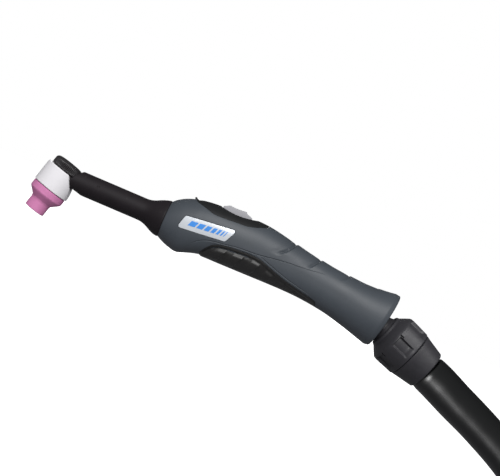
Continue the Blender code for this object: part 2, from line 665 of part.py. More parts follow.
def from_mouth(rows):
    """Moves (radius, height) rows measured from the nut's mouth to the ball's centre."""
    return [(radius, NUT_MOUTH + height) for radius, height in rows]


turned("swivel_seat_ring", [
    (SEAT_R, SEAT_BACK), (SEAT_R, SEAT_FRONT),
    *ball_arc(BALL_R + SEAT_GAP, SEAT_FRONT, SEAT_BACK, 6)], ACETAL, REAR, 20)

ball_front = -math.sqrt(BALL_R**2 - BALL_BORE_R**2)  # where the bore opens through the ball
turned("swivel_ball", [
    *ball_arc(BALL_R, ball_front, 7.55, 8),
    (8.0, 9.5), (8.15, 16), (8.5, 22), (9.1, 26), (9.8, 28.6), (10.6, 30.2), (11.3, 31.4),
    (11.3, 46.0), (9.6, 46.0), (9.6, 34), (BALL_BORE_R, 27)], CHARCOAL, SWIVEL, 20)

nut = turned("swivel_nut", from_mouth([
    (11.65, 0.4), (12.1, 0), (12.9, 0.4), (13.6, 2.0), (16.4, 4.9), (18.7, 7.4), (19.4, 8.6),
    (19.6, 11), (19.2, 24.4), (18.7, 25.1), (14.3, 25.1), (14.3, 16), (11.65, 16)]),
    CHARCOAL, SWIVEL, 28)
NUT_WINDOWS = 6
WINDOW_SIZE = Vector((2.0, 9.0, 10.5)) * MM  # radial, round the nut, along it
window_place = Matrix.Translation(Vector((18.9, 0, NUT_MOUTH + 16.6)) * MM)
for k in range(NUT_WINDOWS):
    turn = Matrix.Rotation(math.radians(360 / NUT_WINDOWS * k + 30), 4, "Z")
    cut(nut, block(f"nut_window_{k}", WINDOW_SIZE, SWIVEL_FRAME @ turn @ window_place))

turned("rear_collar", from_mouth([
    (18.3, 25.5), (18.6, 26.0), (17.9, 29.5), (16.4, 38.5), (15.9, 41.7), (15.3, 42.3),
    (12.7, 42.3), (12.3, 40), (12.3, 36.9), (13.3, 36.9), (13.3, 25.5)]),
    CHARCOAL, SWIVEL, 28)
turned("sheath_clamp", from_mouth([(13.0, 36.5), (13.0, 28.5), (11.75, 28.5), (11.75, 36.5)]),
       STEEL, SWIVEL, 20)


# ---------------------------------------------------------------- cable
def on_swivel(along, above=0.0):
    """Drawing x, z of a point along the swivel's axis from the ball, and above it."""
    return (BALL_X + along * math.cos(CABLE_SLOPE) + above * math.sin(CABLE_SLOPE),
            BALL_Z - along * math.sin(CABLE_SLOPE) + above * math.cos(CABLE_SLOPE))


# x, z, outer radius: the sheath leaves the collar near the swivel's axis, then curves down
SHEATH_STATIONS = [
    (*on_swivel(NUT_MOUTH + 17), 11.3), (*on_swivel(NUT_MOUTH + 38), 11.3),
    (*on_swivel(NUT_MOUTH + 42.8, -0.2), 11.5), (*on_swivel(NUT_MOUTH + 44.8, -0.4), 13.9),
    (*on_swivel(NUT_MOUTH + 47, -0.5), 14.4), (310.4, -29.1, 14.5), (317, -31.9, 14.6),
    (330, -37.6, 14.4), (347, -44.7, SHEATH_R), (364, -52.3, SHEATH_R),
    (381, -60.8, SHEATH_R), (400, -71.7, SHEATH_R), (420, -85.0, SHEATH_R)]


def raised(path, up):
    """Tube points for an (x, z) path moved up along its own normal."""
    points = []
    for i, (x, z) in enumerate(path):
        a, b = path[max(i - 1, 0)], path[min(i + 1, len(path) - 1)]
        along = Vector((b[0] - a[0], b[1] - a[1])).normalized()
        points.append((x - along.y * up, 0, z + along.x * up))
    return points


def extended(points, by):
    """The last point pushed on by a length, along the last stretch."""
    a, b = Vector(points[-2][:3]), Vector(points[-1][:3])
    end = b + (b - a).normalized() * by
    return [*points[:-1], (*end, *points[-1][3:])]


def cable_line(start, up, extra):
    """From a place on the swivel's axis, through the sheath, to extra beyond its end."""
    path = [on_swivel(start), on_swivel(8)] + [(x, z) for x, z, _ in SHEATH_STATIONS]
    return extended(raised(path, up), extra)


outer = [(x, 0, z, radius / SHEATH_R) for x, z, radius in SHEATH_STATIONS]
inner = [(x, 0, z, (radius - SHEATH_WALL) / SHEATH_BORE_R) for x, z, radius in SHEATH_STATIONS]
inner = extended(inner[::-1], 5)[::-1]  # the bore runs out past both ends
inner = extended(inner, 5)
sheath = tube("cable_sheath", outer, SHEATH_R, SHEATH, 4)
cut(sheath, tube("sheath_bore", inner, SHEATH_BORE_R, None, 3))

jacket = tube("power_cable_jacket", cable_line(-6, POWER_RISE, -0.5), 4.5, WIRE_BLACK, 2)
cut(jacket, tube("jacket_bore", cable_line(-12, POWER_RISE, 5), 3.2, None, 1))
tube("power_cable_conductor", cable_line(-5, POWER_RISE, -0.8), 2.5, COPPER, 1)
tube("control_cable", cable_line(-4, CONTROL_RISE, -0.5), CONTROL_R, WIRE_BLACK, 1)

# ---------------------------------------------------------------- shading
# turned pieces have no faces of their own; their modifier shades them smooth
for obj in parts.objects:
    if obj.type == "MESH" and obj.data.polygons:
        obj.data.shade_smooth()
        obj.data.set_sharp_from_angle(angle=math.radians(35))
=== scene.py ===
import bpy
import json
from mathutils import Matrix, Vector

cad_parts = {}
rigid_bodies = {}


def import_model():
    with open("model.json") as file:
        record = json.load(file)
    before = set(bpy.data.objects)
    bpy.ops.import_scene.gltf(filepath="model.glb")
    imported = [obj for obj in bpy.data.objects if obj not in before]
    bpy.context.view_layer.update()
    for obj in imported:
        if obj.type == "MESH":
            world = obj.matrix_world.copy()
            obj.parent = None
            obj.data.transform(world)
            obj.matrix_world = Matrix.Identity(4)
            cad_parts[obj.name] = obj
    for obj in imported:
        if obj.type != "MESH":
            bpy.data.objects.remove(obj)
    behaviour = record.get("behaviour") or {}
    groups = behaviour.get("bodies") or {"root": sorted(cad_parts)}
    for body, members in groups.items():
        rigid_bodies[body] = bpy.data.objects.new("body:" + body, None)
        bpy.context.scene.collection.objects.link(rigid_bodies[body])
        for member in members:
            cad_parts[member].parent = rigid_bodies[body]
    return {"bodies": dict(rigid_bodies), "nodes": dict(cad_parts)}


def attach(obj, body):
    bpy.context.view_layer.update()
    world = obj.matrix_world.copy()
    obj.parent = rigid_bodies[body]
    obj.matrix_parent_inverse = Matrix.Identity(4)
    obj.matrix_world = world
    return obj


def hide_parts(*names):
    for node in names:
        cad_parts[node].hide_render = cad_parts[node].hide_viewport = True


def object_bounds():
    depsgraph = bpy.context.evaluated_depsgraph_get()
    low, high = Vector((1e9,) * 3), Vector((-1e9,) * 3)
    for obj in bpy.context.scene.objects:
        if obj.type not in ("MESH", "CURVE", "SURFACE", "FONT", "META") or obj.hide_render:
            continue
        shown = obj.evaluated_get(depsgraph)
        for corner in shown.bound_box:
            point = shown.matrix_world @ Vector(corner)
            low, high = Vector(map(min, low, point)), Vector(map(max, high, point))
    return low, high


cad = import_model()

# TIG welding torch: fine visual pieces riding on the CAD bodies.
# The row frame is in metres with its origin at the electrode's ground tip. The head leans back
# over it, the handle and cable run off along +X, +Z is up, and the left side is -Y.
# Most sizes are in torch millimetres: mm from the point where the head's axis crosses the
# neck's axis. place() turns them into the row frame.
import json
import math

import bmesh
import bpy
import numpy as np
from mathutils import Matrix, Vector, noise

for stray in list(bpy.data.objects):
    if stray.name not in cad["nodes"] and stray.name not in {"body:" + b for b in cad["bodies"]}:
        bpy.data.objects.remove(stray, do_unlink=True)
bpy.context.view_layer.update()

# ================================================================ driving sizes
MM = 0.001
HEAD_LEAN = math.radians(15.3)
TIP_TO_NECK = 32.5  # along the head's axis
CROSS_X = TIP_TO_NECK * math.sin(HEAD_LEAN)
CROSS_Z = TIP_TO_NECK * math.cos(HEAD_LEAN)

NECK_R, NECK_TUBE_R = 8.5, 5.0
HANDLE_FRONT, HANDLE_REAR = 81.6, 257.7
REAR_SLOPE = math.radians(10.4)
TILT_START = 205  # x where the sections begin to tilt towards the rear slope
WALL = 3.4
INLAY_DEPTH, INLAY_GAP = 1.4, 0.3
BADGE_DEPTH, BADGE_SUNK, BADGE_GAP = 1.2, 0.35, 0.3
PANEL_DEPTH, PANEL_GAP = 2.0, 0.3
PLUG_LOW, PLUG_HIGH = (100.4, -8.6, 14.0), (149.6, 8.6, 45)  # box under the switch panel
PIN_X, PIN_Z, PIN_BORE_R = 143.5, 18.8, 1.1
BALL_X, BALL_Z = 232.0, 0.7
BALL_R, BALL_BORE_R = 11.0, 7.0
SEAT_R, SEAT_FRONT, SEAT_REAR, SEAT_GAP = 12.6, -8.4, 5.4, 0.3  # heights from the ball centre
CABLE_SLOPE = math.radians(20.4)
NUT_FRONT = 30.7  # ball centre to the swivel nut's front edge
SHEATH_R = 14.2

# Handle silhouette: (x, z) of the back and the belly, (x, half width)
BACK = ((81, 13.0), (84, 15.9), (88, 18.6), (92, 20.6), (98, 22.6), (106, 24.2), (114, 25.0),
        (130, 25.4), (146, 25.9), (154, 25.5), (162, 24.4), (170, 22.9), (178, 21.4), (190, 19.4),
        (202, 17.7), (214, 16.5), (226, 15.7), (238, 15.5), (250, 16.3), (258, 17.5), (268, 19.2))
BELLY = ((81, -13.4), (84, -15.0), (88, -16.7), (92, -18.0), (96, -18.9), (100, -18.6),
         (105, -16.6), (110, -15.0), (116, -14.5), (130, -14.3), (150, -13.9), (176, -13.4),
         (190, -13.6), (202, -14.5), (214, -16.1), (226, -18.7), (238, -21.7), (250, -25.0),
         (262, -27.6))
HALF_WIDTH = ((81, 13.2), (86, 15.0), (94, 16.6), (104, 17.4), (130, 17.6), (160, 16.7),
              (190, 15.6), (212, 15.6), (230, 17.0), (248, 18.8), (266, 19.6))


def place(x, y, z):
    """A point in torch millimetres, in the row frame."""
    return Vector(((CROSS_X + x) * MM, y * MM, (CROSS_Z + z) * MM))


def axis_frame(x, z, below):
    """A frame at (x, z) whose Z runs rearwards, sloping down by the angle below."""
    return Matrix.Translation(place(x, 0, z)) @ Matrix.Rotation(math.pi / 2 + below, 4, "Y")


HEAD = Matrix.Rotation(HEAD_LEAN, 4, "Y")  # heights run up from the electrode tip
NECK = axis_frame(0, 0, 0.0)
REAR = axis_frame(BALL_X, BALL_Z, REAR_SLOPE)
SWIVEL = axis_frame(BALL_X, BALL_Z, CABLE_SLOPE)


# ================================================================ materials
def feed(tree, target, values):
    """Set a node's inputs; a socket among the values is linked instead."""
    for socket, value in values.items():
        if isinstance(value, bpy.types.NodeSocket):
            tree.links.new(value, target.inputs[socket])
        else:
            target.inputs[socket].default_value = value


def node(tree, kind, values=None, **settings):
    made = tree.nodes.new("ShaderNode" + kind)
    for setting, value in settings.items():
        setattr(made, setting, value)
    feed(tree, made, values or {})
    return made


def noise_node(tree, vector, size, detail):
    """Noise with features of about size mm."""
    return node(tree, "TexNoise", {"Scale": 1000.0 / size, "Detail": detail, "Vector": vector})


def look(name, colour, rough, metal=0.0, mottle=0.05, mottle_size=6.0, grain=0.25,
         grain_depth=0.02, rough_swing=0.06, edge=0.2, specular=0.5, wear=None, streak=(1, 1, 1)):
    """A node material: mottled colour, uneven gloss and a fine surface grain.

    mottle is a share of the colour. mottle_size, grain, grain_depth and edge (the radius of the
    softened edges) are in mm. wear adds speckles of a second colour, of about size mm, where
    their noise is above start. streak scales the texture space along each axis.
    """
    mat = bpy.data.materials.new("look_" + name)
    mat.use_nodes = True
    tree = mat.node_tree
    coord = node(tree, "TexCoord")
    base = node(tree, "Mapping", {"Scale": streak, "Vector": coord.outputs["Object"]})

    broad = noise_node(tree, base.outputs["Vector"], mottle_size, detail=4.0)
    ramp = node(tree, "ValToRGB", {"Fac": broad.outputs["Fac"]})
    dark_end, light_end = ramp.color_ramp.elements
    dark_end.position = 0.3
    light_end.position = 0.7
    dark_end.color = (*[c * (1 - mottle) for c in colour], 1)
    light_end.color = (*[min(1, c * (1 + mottle)) for c in colour], 1)
    colour_out = ramp.outputs["Color"]
    if wear:
        spots = noise_node(tree, coord.outputs["Object"], wear["size"], detail=6.0)
        share = node(tree, "MapRange", {"From Min": wear["start"], "From Max": wear["start"] + 0.08,
                                        "Value": spots.outputs["Fac"]})
        mix = node(tree, "Mix", {"Factor": share.outputs["Result"], "A": colour_out,
                                 "B": (*wear["colour"], 1)}, data_type="RGBA")
        colour_out = mix.outputs["Result"]

    fine = noise_node(tree, base.outputs["Vector"], grain, detail=3.0)
    gloss = node(tree, "MapRange", {"To Min": max(0.02, rough - rough_swing),
                                    "To Max": min(1.0, rough + rough_swing),
                                    "Value": broad.outputs["Fac"]})
    bump = node(tree, "Bump", {"Strength": 1.0, "Distance": grain_depth * MM,
                               "Height": fine.outputs["Fac"]})
    if edge:
        soft = node(tree, "Bevel", {"Radius": edge * MM}, samples=6)
        feed(tree, bump, {"Normal": soft.outputs["Normal"]})
    feed(tree, tree.nodes["Principled BSDF"], {
        "Base Color": colour_out,
        "Roughness": gloss.outputs["Result"],
        "Normal": bump.outputs["Normal"],
        "Metallic": metal,
        "Specular IOR Level": specular,
        "Subsurface Radius": (0.002, 0.0015, 0.0015),
    })
    mat.diffuse_color = (*colour, 1)
    return mat


FINISHES = {
    "pink_alumina": dict(colour=(0.565, 0.195, 0.385), rough=0.65, mottle_size=3, grain=0.35,
                         grain_depth=0.012, specular=0.35),
    "white_ptfe": dict(colour=(0.745, 0.725, 0.745), rough=0.6, mottle=0.012, mottle_size=9,
                       grain=0.5, grain_depth=0.008, specular=0.25, edge=0.35),
    "black_rubber": dict(colour=(0.0098, 0.0072, 0.009), rough=0.62, mottle=0.14, mottle_size=10,
                         grain=0.3, specular=0.2, edge=0.35,
                         wear=dict(colour=(0.017, 0.014, 0.016), size=5.0, start=0.66)),
    "black_phenolic": dict(colour=(0.017, 0.0145, 0.016), rough=0.42, mottle=0.1, mottle_size=5,
                           specular=0.4, edge=0.06),
    "brown_phenolic": dict(colour=(0.10, 0.058, 0.03), rough=0.5, mottle=0.2, mottle_size=2.5),
    "slate_soft_touch": dict(colour=(0.047, 0.0545, 0.0645), rough=0.5, mottle_size=14,
                             grain=0.22, grain_depth=0.012, specular=0.38, edge=0.3),
    "dark_grip": dict(colour=(0.0098, 0.0092, 0.0088), rough=0.48, mottle=0.12, mottle_size=5,
                      grain=0.4, edge=0.25),
    "badge_plate": dict(colour=(0.56, 0.585, 0.62), rough=0.3, metal=0.15, mottle=0.03,
                        mottle_size=20, grain=0.12, grain_depth=0.003, streak=(0.15, 1, 1)),
    "badge_blue": dict(colour=(0.03, 0.23, 0.68), rough=0.4, mottle_size=3, grain_depth=0.003,
                       edge=0.05),
    "black_panel": dict(colour=(0.008, 0.0082, 0.009), rough=0.5, mottle=0.1, mottle_size=7,
                        grain=0.2, grain_depth=0.012, specular=0.28, edge=0.25),
    "grey_button": dict(colour=(0.30, 0.295, 0.315), rough=0.5, mottle=0.04, mottle_size=5,
                        grain_depth=0.01),
    "charcoal_nylon": dict(colour=(0.0215, 0.0205, 0.024), rough=0.46, mottle=0.08, mottle_size=4,
                           grain=0.3, grain_depth=0.025, specular=0.35, edge=0.3,
                           wear=dict(colour=(0.036, 0.034, 0.038), size=2.2, start=0.7)),
    "sheath_rubber": dict(colour=(0.0045, 0.0046, 0.005), rough=0.34, mottle=0.15, mottle_size=12,
                          grain=0.5, grain_depth=0.03, specular=0.45, edge=0.3, rough_swing=0.07),
    "brass": dict(colour=(0.72, 0.52, 0.20), rough=0.28, metal=1.0, mottle=0.06, mottle_size=3,
                  grain=0.15, grain_depth=0.004),
    "copper": dict(colour=(0.80, 0.38, 0.22), rough=0.28, metal=1.0, mottle=0.08, mottle_size=3,
                   grain=0.15, grain_depth=0.004),
    "steel": dict(colour=(0.55, 0.56, 0.58), rough=0.3, metal=1.0, mottle_size=2, grain=0.12,
                  grain_depth=0.004),
    "tungsten": dict(colour=(0.42, 0.42, 0.44), rough=0.32, metal=1.0, mottle=0.08,
                     mottle_size=1.2, grain=0.08, grain_depth=0.004, streak=(1, 1, 0.2), edge=0.03),
    "wire_red": dict(colour=(0.45, 0.02, 0.02), rough=0.45, edge=0.05),
    "wire_black": dict(colour=(0.018, 0.018, 0.019), rough=0.5, mottle=0.1, edge=0.1),
    "acetal": dict(colour=(0.55, 0.53, 0.48), rough=0.42, mottle=0.03, edge=0.15),
}


def woven_look():
    """The gas lens screen: crossed wires stand in for the plain colour and grain."""
    mat = look("woven_screen", colour=(0.5, 0.5, 0.52), rough=0.35, metal=1.0, grain_depth=0.1,
               edge=0.0)
    tree = mat.node_tree
    base_colour = tree.nodes["Principled BSDF"].inputs["Base Color"]
    height = tree.nodes["Bump"].inputs["Height"]
    for socket in (base_colour, height):
        tree.nodes.remove(socket.links[0].from_node)
    coord = tree.nodes["Texture Coordinate"].outputs["Object"]
    wires = [node(tree, "TexWave", {"Scale": 700, "Vector": coord},
                  wave_type="BANDS", bands_direction=direction) for direction in ("X", "Y")]
    top = node(tree, "Math", {0: wires[0].outputs["Fac"], 1: wires[1].outputs["Fac"]},
               operation="MAXIMUM")
    shade = node(tree, "Mix", {"A": (0.02, 0.02, 0.02, 1), "B": (0.55, 0.54, 0.52, 1),
                               "Factor": top.outputs["Value"]}, data_type="RGBA")
    tree.links.new(shade.outputs["Result"], base_colour)
    tree.links.new(top.outputs["Value"], height)
    return mat


LOOKS = {name: look(name, **settings) for name, settings in FINISHES.items()}
LOOKS["woven_screen"] = woven_look()


# ================================================================ mesh building
def link_object(name, mesh):
    obj = bpy.data.objects.new(name, mesh)
    bpy.context.scene.collection.objects.link(obj)
    return obj


def make(name, verts, faces, frame=None):
    """A mesh with its faces turned outwards, from metres in the row frame or mm in a frame."""
    verts = np.asarray(verts, float)
    if frame is not None:
        matrix = np.array(frame)
        verts = (verts * MM) @ matrix[:3, :3].T + matrix[:3, 3]
    mesh = bpy.data.meshes.new(name)
    mesh.from_pydata(verts.tolist(), [], faces)
    edit = bmesh.new()
    edit.from_mesh(mesh)
    bmesh.ops.recalc_face_normals(edit, faces=edit.faces)
    edit.to_mesh(mesh)
    edit.free()
    return link_object(name, mesh)


def flat(rings):
    """Rings of torch-mm points as one list of row-frame points."""
    return (rings.reshape(-1, 3) + np.array([CROSS_X, 0, CROSS_Z])) * MM


def band(i, j, around, base=0):
    """Quads joining ring i to ring j."""
    first, second = base + i * around, base + j * around
    return [(first + k, first + (k + 1) % around, second + (k + 1) % around, second + k)
            for k in range(around)]


def end_face(i, around, base=0):
    return tuple(range(base + i * around, base + (i + 1) * around))


def combine(obj, other, operation="DIFFERENCE", keep=False):
    """A boolean put into obj's mesh; the exact solver steps in if the first changes nothing."""
    for solver in ("MANIFOLD", "EXACT"):
        mod = obj.modifiers.new("combine", "BOOLEAN")
        mod.operation, mod.object, mod.solver = operation, other, solver
        before = (len(obj.data.vertices), len(obj.data.polygons))
        bpy.context.view_layer.update()
        graph = bpy.context.evaluated_depsgraph_get()
        mesh = bpy.data.meshes.new_from_object(obj.evaluated_get(graph))
        obj.modifiers.clear()
        if len(mesh.polygons) and (len(mesh.vertices), len(mesh.polygons)) != before:
            obj.data = mesh
            break
    if not keep:
        bpy.data.objects.remove(other, do_unlink=True)
    return obj


def paint(mesh, which):
    mesh.materials.clear()
    mesh.materials.append(LOOKS[which])
    mesh.polygons.foreach_set("material_index", np.zeros(len(mesh.polygons), np.int32))


def dress(obj, body, slot, nodes=(), material=None, angle=32):
    """Paint a piece with its slot's look (or the given material), shade it smooth, attach it to a
    body and hide the CAD nodes it replaces.
    """
    paint(obj.data, material or slot)
    obj.data.shade_smooth()
    obj.data.set_sharp_from_angle(angle=math.radians(angle))
    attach(obj, body)
    if nodes:
        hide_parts(*nodes)


def rounded(profile, segs=4):
    """Corners that carry a third number are rounded to about that radius."""
    out = []
    for i, point in enumerate(profile):
        corner = np.array(point[:2], float)
        radius = point[2] if len(point) > 2 else 0
        if radius <= 0:
            out.append((float(corner[0]), float(corner[1])))
            continue
        to_last = np.array(profile[i - 1][:2], float) - corner
        to_next = np.array(profile[(i + 1) % len(profile)][:2], float) - corner
        last_run, next_run = np.linalg.norm(to_last), np.linalg.norm(to_next)
        to_last, to_next = to_last / last_run, to_next / next_run
        half = math.acos(max(-1.0, min(1.0, float(to_last @ to_next)))) / 2
        cut = min(radius / max(math.tan(half), 1e-3), 0.46 * last_run, 0.46 * next_run)
        start, end = corner + to_last * cut, corner + to_next * cut
        for k in range(segs + 1):
            t = k / segs
            curve = (1 - t) ** 2 * start + 2 * t * (1 - t) * corner + t * t * end
            out.append((float(curve[0]), float(curve[1])))
    return out


def lathe(name, profile, frame, steps=96, shape=None, segs=4):
    """A solid of revolution about the frame's Z from a closed (radius, height[, fillet]) profile.

    shape(angles, radius, height) is added to the radius.
    """
    angles = np.linspace(0, 2 * math.pi, steps, endpoint=False)
    verts, rows = [], []
    for radius, z in rounded(profile, segs):
        if radius < 1e-6:
            rows.append([len(verts)])
            verts.append((0.0, 0.0, z))
        else:
            radii = radius + (shape(angles, radius, z) if shape else 0 * angles)
            rows.append(list(range(len(verts), len(verts) + steps)))
            verts += list(zip((radii * np.cos(angles)).tolist(), (radii * np.sin(angles)).tolist(),
                              [z] * steps))
    faces = []
    for row, after in zip(rows, rows[1:] + rows[:1]):
        if len(row) == 1 and len(after) == 1:
            continue
        for k in range(steps):
            m = (k + 1) % steps
            if len(row) == 1:
                faces.append((row[0], after[k], after[m]))
            elif len(after) == 1:
                faces.append((row[k], after[0], row[m]))
            else:
                faces.append((row[k], after[k], after[m], row[m]))
    return make(name, verts, faces, frame)


def cylinder(name, radius, low, high, frame, steps):
    return lathe(name, [(0, high), (radius, high), (radius, low), (0, low)], frame, steps)


def measured(rows, x):
    """A smooth curve through (x, value) rows, held level beyond its ends."""
    if x <= rows[0][0]:
        return rows[0][1]
    if x >= rows[-1][0]:
        return rows[-1][1]
    i = max(k for k in range(len(rows) - 1) if rows[k][0] <= x)

    def slope(k):
        before, after = rows[max(k - 1, 0)], rows[min(k + 1, len(rows) - 1)]
        return (after[1] - before[1]) / (after[0] - before[0])

    (x0, y0), (x1, y1) = rows[i], rows[i + 1]
    run = x1 - x0
    t = (x - x0) / run
    return ((2 * t**3 - 3 * t**2 + 1) * y0 + (t**3 - 2 * t**2 + t) * run * slope(i)
            + (3 * t**2 - 2 * t**3) * y1 + (t**3 - t**2) * run * slope(i + 1))


def roundness(x):
    """The superellipse power of a section: 2 is an ellipse, more is squarer."""
    return 2.0 + 0.45 * max(0.0, min(1.0, (x - 82) / 20)) * max(0.0, min(1.0, (262 - x) / 40))


def station(x, inset=0.0):
    """Handle section at x: centre x, centre z, tilt, half height, half width, power."""
    tilt = REAR_SLOPE * max(0.0, min(1.0, (x - TILT_START) / (HANDLE_REAR - TILT_START)))
    top, low = measured(BACK, x), measured(BELLY, x)
    mid_z = (top + low) / 2
    ends = []
    for rows, upright_end, sign in ((BACK, top, 1), (BELLY, low, -1)):
        reach = abs(upright_end - mid_z)
        # walk to where the tilted section meets the outline
        for _ in range(6):
            here = x + sign * reach * math.sin(tilt)
            reach = abs(measured(rows, here) - mid_z) / math.cos(tilt)
        ends.append(sign * reach)
    shift = (ends[0] + ends[1]) / 2
    return (x + shift * math.sin(tilt), mid_z + shift * math.cos(tilt), tilt,
            (ends[0] - ends[1]) / 2 - inset, measured(HALF_WIDTH, x) - inset, roundness(x))


def side_reach(x, z):
    """Half width of the plain handle at (x, z)."""
    _, mid_z, _, half_height, half_width, power = station(x)
    return half_width * (1 - min(1.0, abs((z - mid_z) / half_height)) ** power) ** (1 / power)


def even_ring(section, around):
    """Points spaced evenly along a superellipse section, in torch mm."""
    mid_x, mid_z, tilt, half_height, half_width, power = section
    t = np.linspace(0, math.pi / 2, 160)
    across = half_width * np.cos(t).clip(0) ** (2 / power)
    rise = half_height * np.sin(t).clip(0) ** (2 / power)
    run = np.concatenate([[0], np.cumsum(np.hypot(np.diff(across), np.diff(rise)))])
    even = np.linspace(0, run[-1], around // 4 + 1)
    y, v = np.interp(even, run, across), np.interp(even, run, rise)
    across = np.concatenate([y[:-1], -y[:0:-1], -y[:-1], y[:0:-1]])
    rise = np.concatenate([v[:-1], v[:0:-1], -v[:-1], -v[:0:-1]])
    return np.stack([mid_x + rise * math.sin(tilt), across, mid_z + rise * math.cos(tilt)], -1)


def skin(name, stations, around=160, depth=None):
    """A closed loft over sections. depth(x, y, z) sinks the surface along its normal, in mm."""
    grid = np.array([even_ring(section, around) for section in stations])
    if depth is not None:
        lengthwise = np.gradient(grid, axis=0)
        crosswise = (np.roll(grid, -1, 1) - np.roll(grid, 1, 1)) / 2
        normal = np.cross(lengthwise, crosswise)
        normal /= np.linalg.norm(normal, axis=2, keepdims=True) + 1e-12
        centre = grid.mean(1, keepdims=True)
        normal *= np.sign(((grid - centre) * normal).sum(2, keepdims=True))
        grid = grid - normal * depth(grid[..., 0], grid[..., 1], grid[..., 2])[..., None]
    last = len(stations) - 1
    faces = [quad for i in range(last) for quad in band(i, i + 1, around)]
    faces += [end_face(0, around)[::-1], end_face(last, around)]
    return make(name, flat(grid), faces)


def local_skin(name, x0, x1, step, inset=0.0, around=128, depth=None):
    """The handle's skin between two x places, sunk evenly by inset."""
    places = np.linspace(x0, x1, int(round((x1 - x0) / step)) + 1)
    return skin(name, [station(float(x), inset) for x in places], around, depth)


def halved(obj, side, gap=0.15):
    """Keep the part on one side of the middle plane, starting at gap mm from it."""
    edit = bmesh.new()
    edit.from_mesh(obj.data)
    cut = bmesh.ops.bisect_plane(edit, geom=edit.verts[:] + edit.edges[:] + edit.faces[:],
                                 dist=1e-8, plane_co=(0, side * gap * MM, 0),
                                 plane_no=(0, side, 0), clear_inner=True)
    rim_edges = [e for e in cut["geom_cut"] if isinstance(e, bmesh.types.BMEdge)]
    bmesh.ops.holes_fill(edit, edges=rim_edges)
    bmesh.ops.recalc_face_normals(edit, faces=edit.faces)
    edit.to_mesh(obj.data)
    edit.free()
    return obj


def corner_cut(outline, times=2, share=0.22):
    """A closed outline with its corners rounded off."""
    points = [np.array(p, float) for p in outline]
    for _ in range(times):
        out = []
        for i, here in enumerate(points):
            after = points[(i + 1) % len(points)]
            out += [here * (1 - share) + after * share, here * share + after * (1 - share)]
        points = out
    return [(float(p[0]), float(p[1])) for p in points]


def grown(outline, by):
    """A closed outline moved outwards."""
    out = []
    count = len(outline)
    area = sum(outline[i][0] * outline[(i + 1) % count][1]
               - outline[(i + 1) % count][0] * outline[i][1] for i in range(count))
    sign = 1 if area > 0 else -1
    for i in range(count):
        last, here, after = (Vector(outline[j % count]) for j in (i - 1, i, i + 1))
        along_in, along_out = (here - last).normalized(), (after - here).normalized()
        normal_in = Vector((along_in.y, -along_in.x)) * sign
        normal_out = Vector((along_out.y, -along_out.x)) * sign
        mitre = (normal_in + normal_out).normalized()
        step = by / max(0.5, mitre.dot(normal_in))
        out.append((here.x + mitre.x * step, here.y + mitre.y * step))
    return out


def prism(name, outline, y0, y1, soft=0.0, segs=4):
    """An (x, z) outline stretched from y0 to y1, with both rims rounded by soft."""
    layers = [(y0, 0), (y1, 0)]
    if soft:
        turns = [k / segs * math.pi / 2 for k in range(segs + 1)]
        layers = [(y0 + soft * (1 - math.cos(a)), -soft * (1 - math.sin(a))) for a in turns]
        layers += [(y0 + y1 - y, growth) for y, growth in layers[::-1]]
    verts, around, last = [], len(outline), len(layers) - 1
    for y, growth in layers:
        ring = grown(outline, growth) if growth else outline
        verts += [tuple(place(x, y, z)) for x, z in ring]
    faces = [end_face(0, around), end_face(last, around)[::-1]]
    for i in range(last):
        faces += band(i, i + 1, around)
    return make(name, verts, faces)


def block(name, low, high, round_by=0.0, frame=None):
    """A box between two corners in torch mm (or mm of a frame), with rounded edges."""
    mesh = bpy.data.meshes.new(name)
    edit = bmesh.new()
    bmesh.ops.create_cube(edit, size=1.0)
    low, high = Vector(low), Vector(high)
    bmesh.ops.scale(edit, vec=high - low, verts=edit.verts)
    if round_by:
        bmesh.ops.bevel(edit, geom=edit.edges[:], offset=round_by, segments=4, profile=0.5,
                        affect="EDGES")
    bmesh.ops.translate(edit, vec=(low + high) / 2, verts=edit.verts)
    bmesh.ops.scale(edit, vec=(MM, MM, MM), verts=edit.verts)
    edit.transform(frame if frame is not None
                   else Matrix.Translation((CROSS_X * MM, 0, CROSS_Z * MM)))
    edit.to_mesh(mesh)
    edit.free()
    return link_object(name, mesh)


def rod(name, start, end, radius, steps=32):
    start, end = place(*start), place(*end)
    turn = Vector((0, 0, 1)).rotation_difference(end - start).to_matrix().to_4x4()
    length = (end - start).length / MM
    return lathe(name, [(0, 0), (radius, 0), (radius, length), (0, length)],
                 Matrix.Translation(start) @ turn, steps)


def spline(points, per):
    """A smooth line through the points (any number of columns), with per steps a span."""
    known = np.array(points, float)
    ext = np.vstack([2 * known[0] - known[1], known, 2 * known[-1] - known[-2]])
    out = []
    for i in range(1, len(ext) - 2):
        a, b, c, d = ext[i - 1], ext[i], ext[i + 1], ext[i + 2]
        for k in range(per):
            t = k / per
            out.append(0.5 * ((2 * b) + (c - a) * t + (2 * a - 5 * b + 4 * c - d) * t**2
                              + (3 * b - a - 3 * c + d) * t**3))
    out.append(known[-1])
    return np.array(out)


def unit_tangents(path):
    tangent = np.gradient(path, axis=0)
    return tangent / np.linalg.norm(tangent, axis=1, keepdims=True)


def sweep_rings(path, radius, around, swell=None):
    """Rings of points round a path, in torch mm. swell(ring index, angles) adds to the radius."""
    path = np.asarray(path, float)
    radius = np.broadcast_to(np.asarray(radius, float), (len(path),))
    tangent = unit_tangents(path)
    side = np.array([0.0, 1.0, 0.0]) - tangent * tangent[:, 1:2]
    side /= np.linalg.norm(side, axis=1, keepdims=True)
    up = np.cross(side, tangent)
    angles = np.linspace(0, 2 * math.pi, around, endpoint=False)
    rings = []
    for i in range(len(path)):
        radii = radius[i] * np.ones(around)
        if swell is not None:
            radii = radii + swell(i, angles)
        rings.append(path[i] + (np.cos(angles) * radii)[:, None] * side[i]
                     + (np.sin(angles) * radii)[:, None] * up[i])
    return np.array(rings)


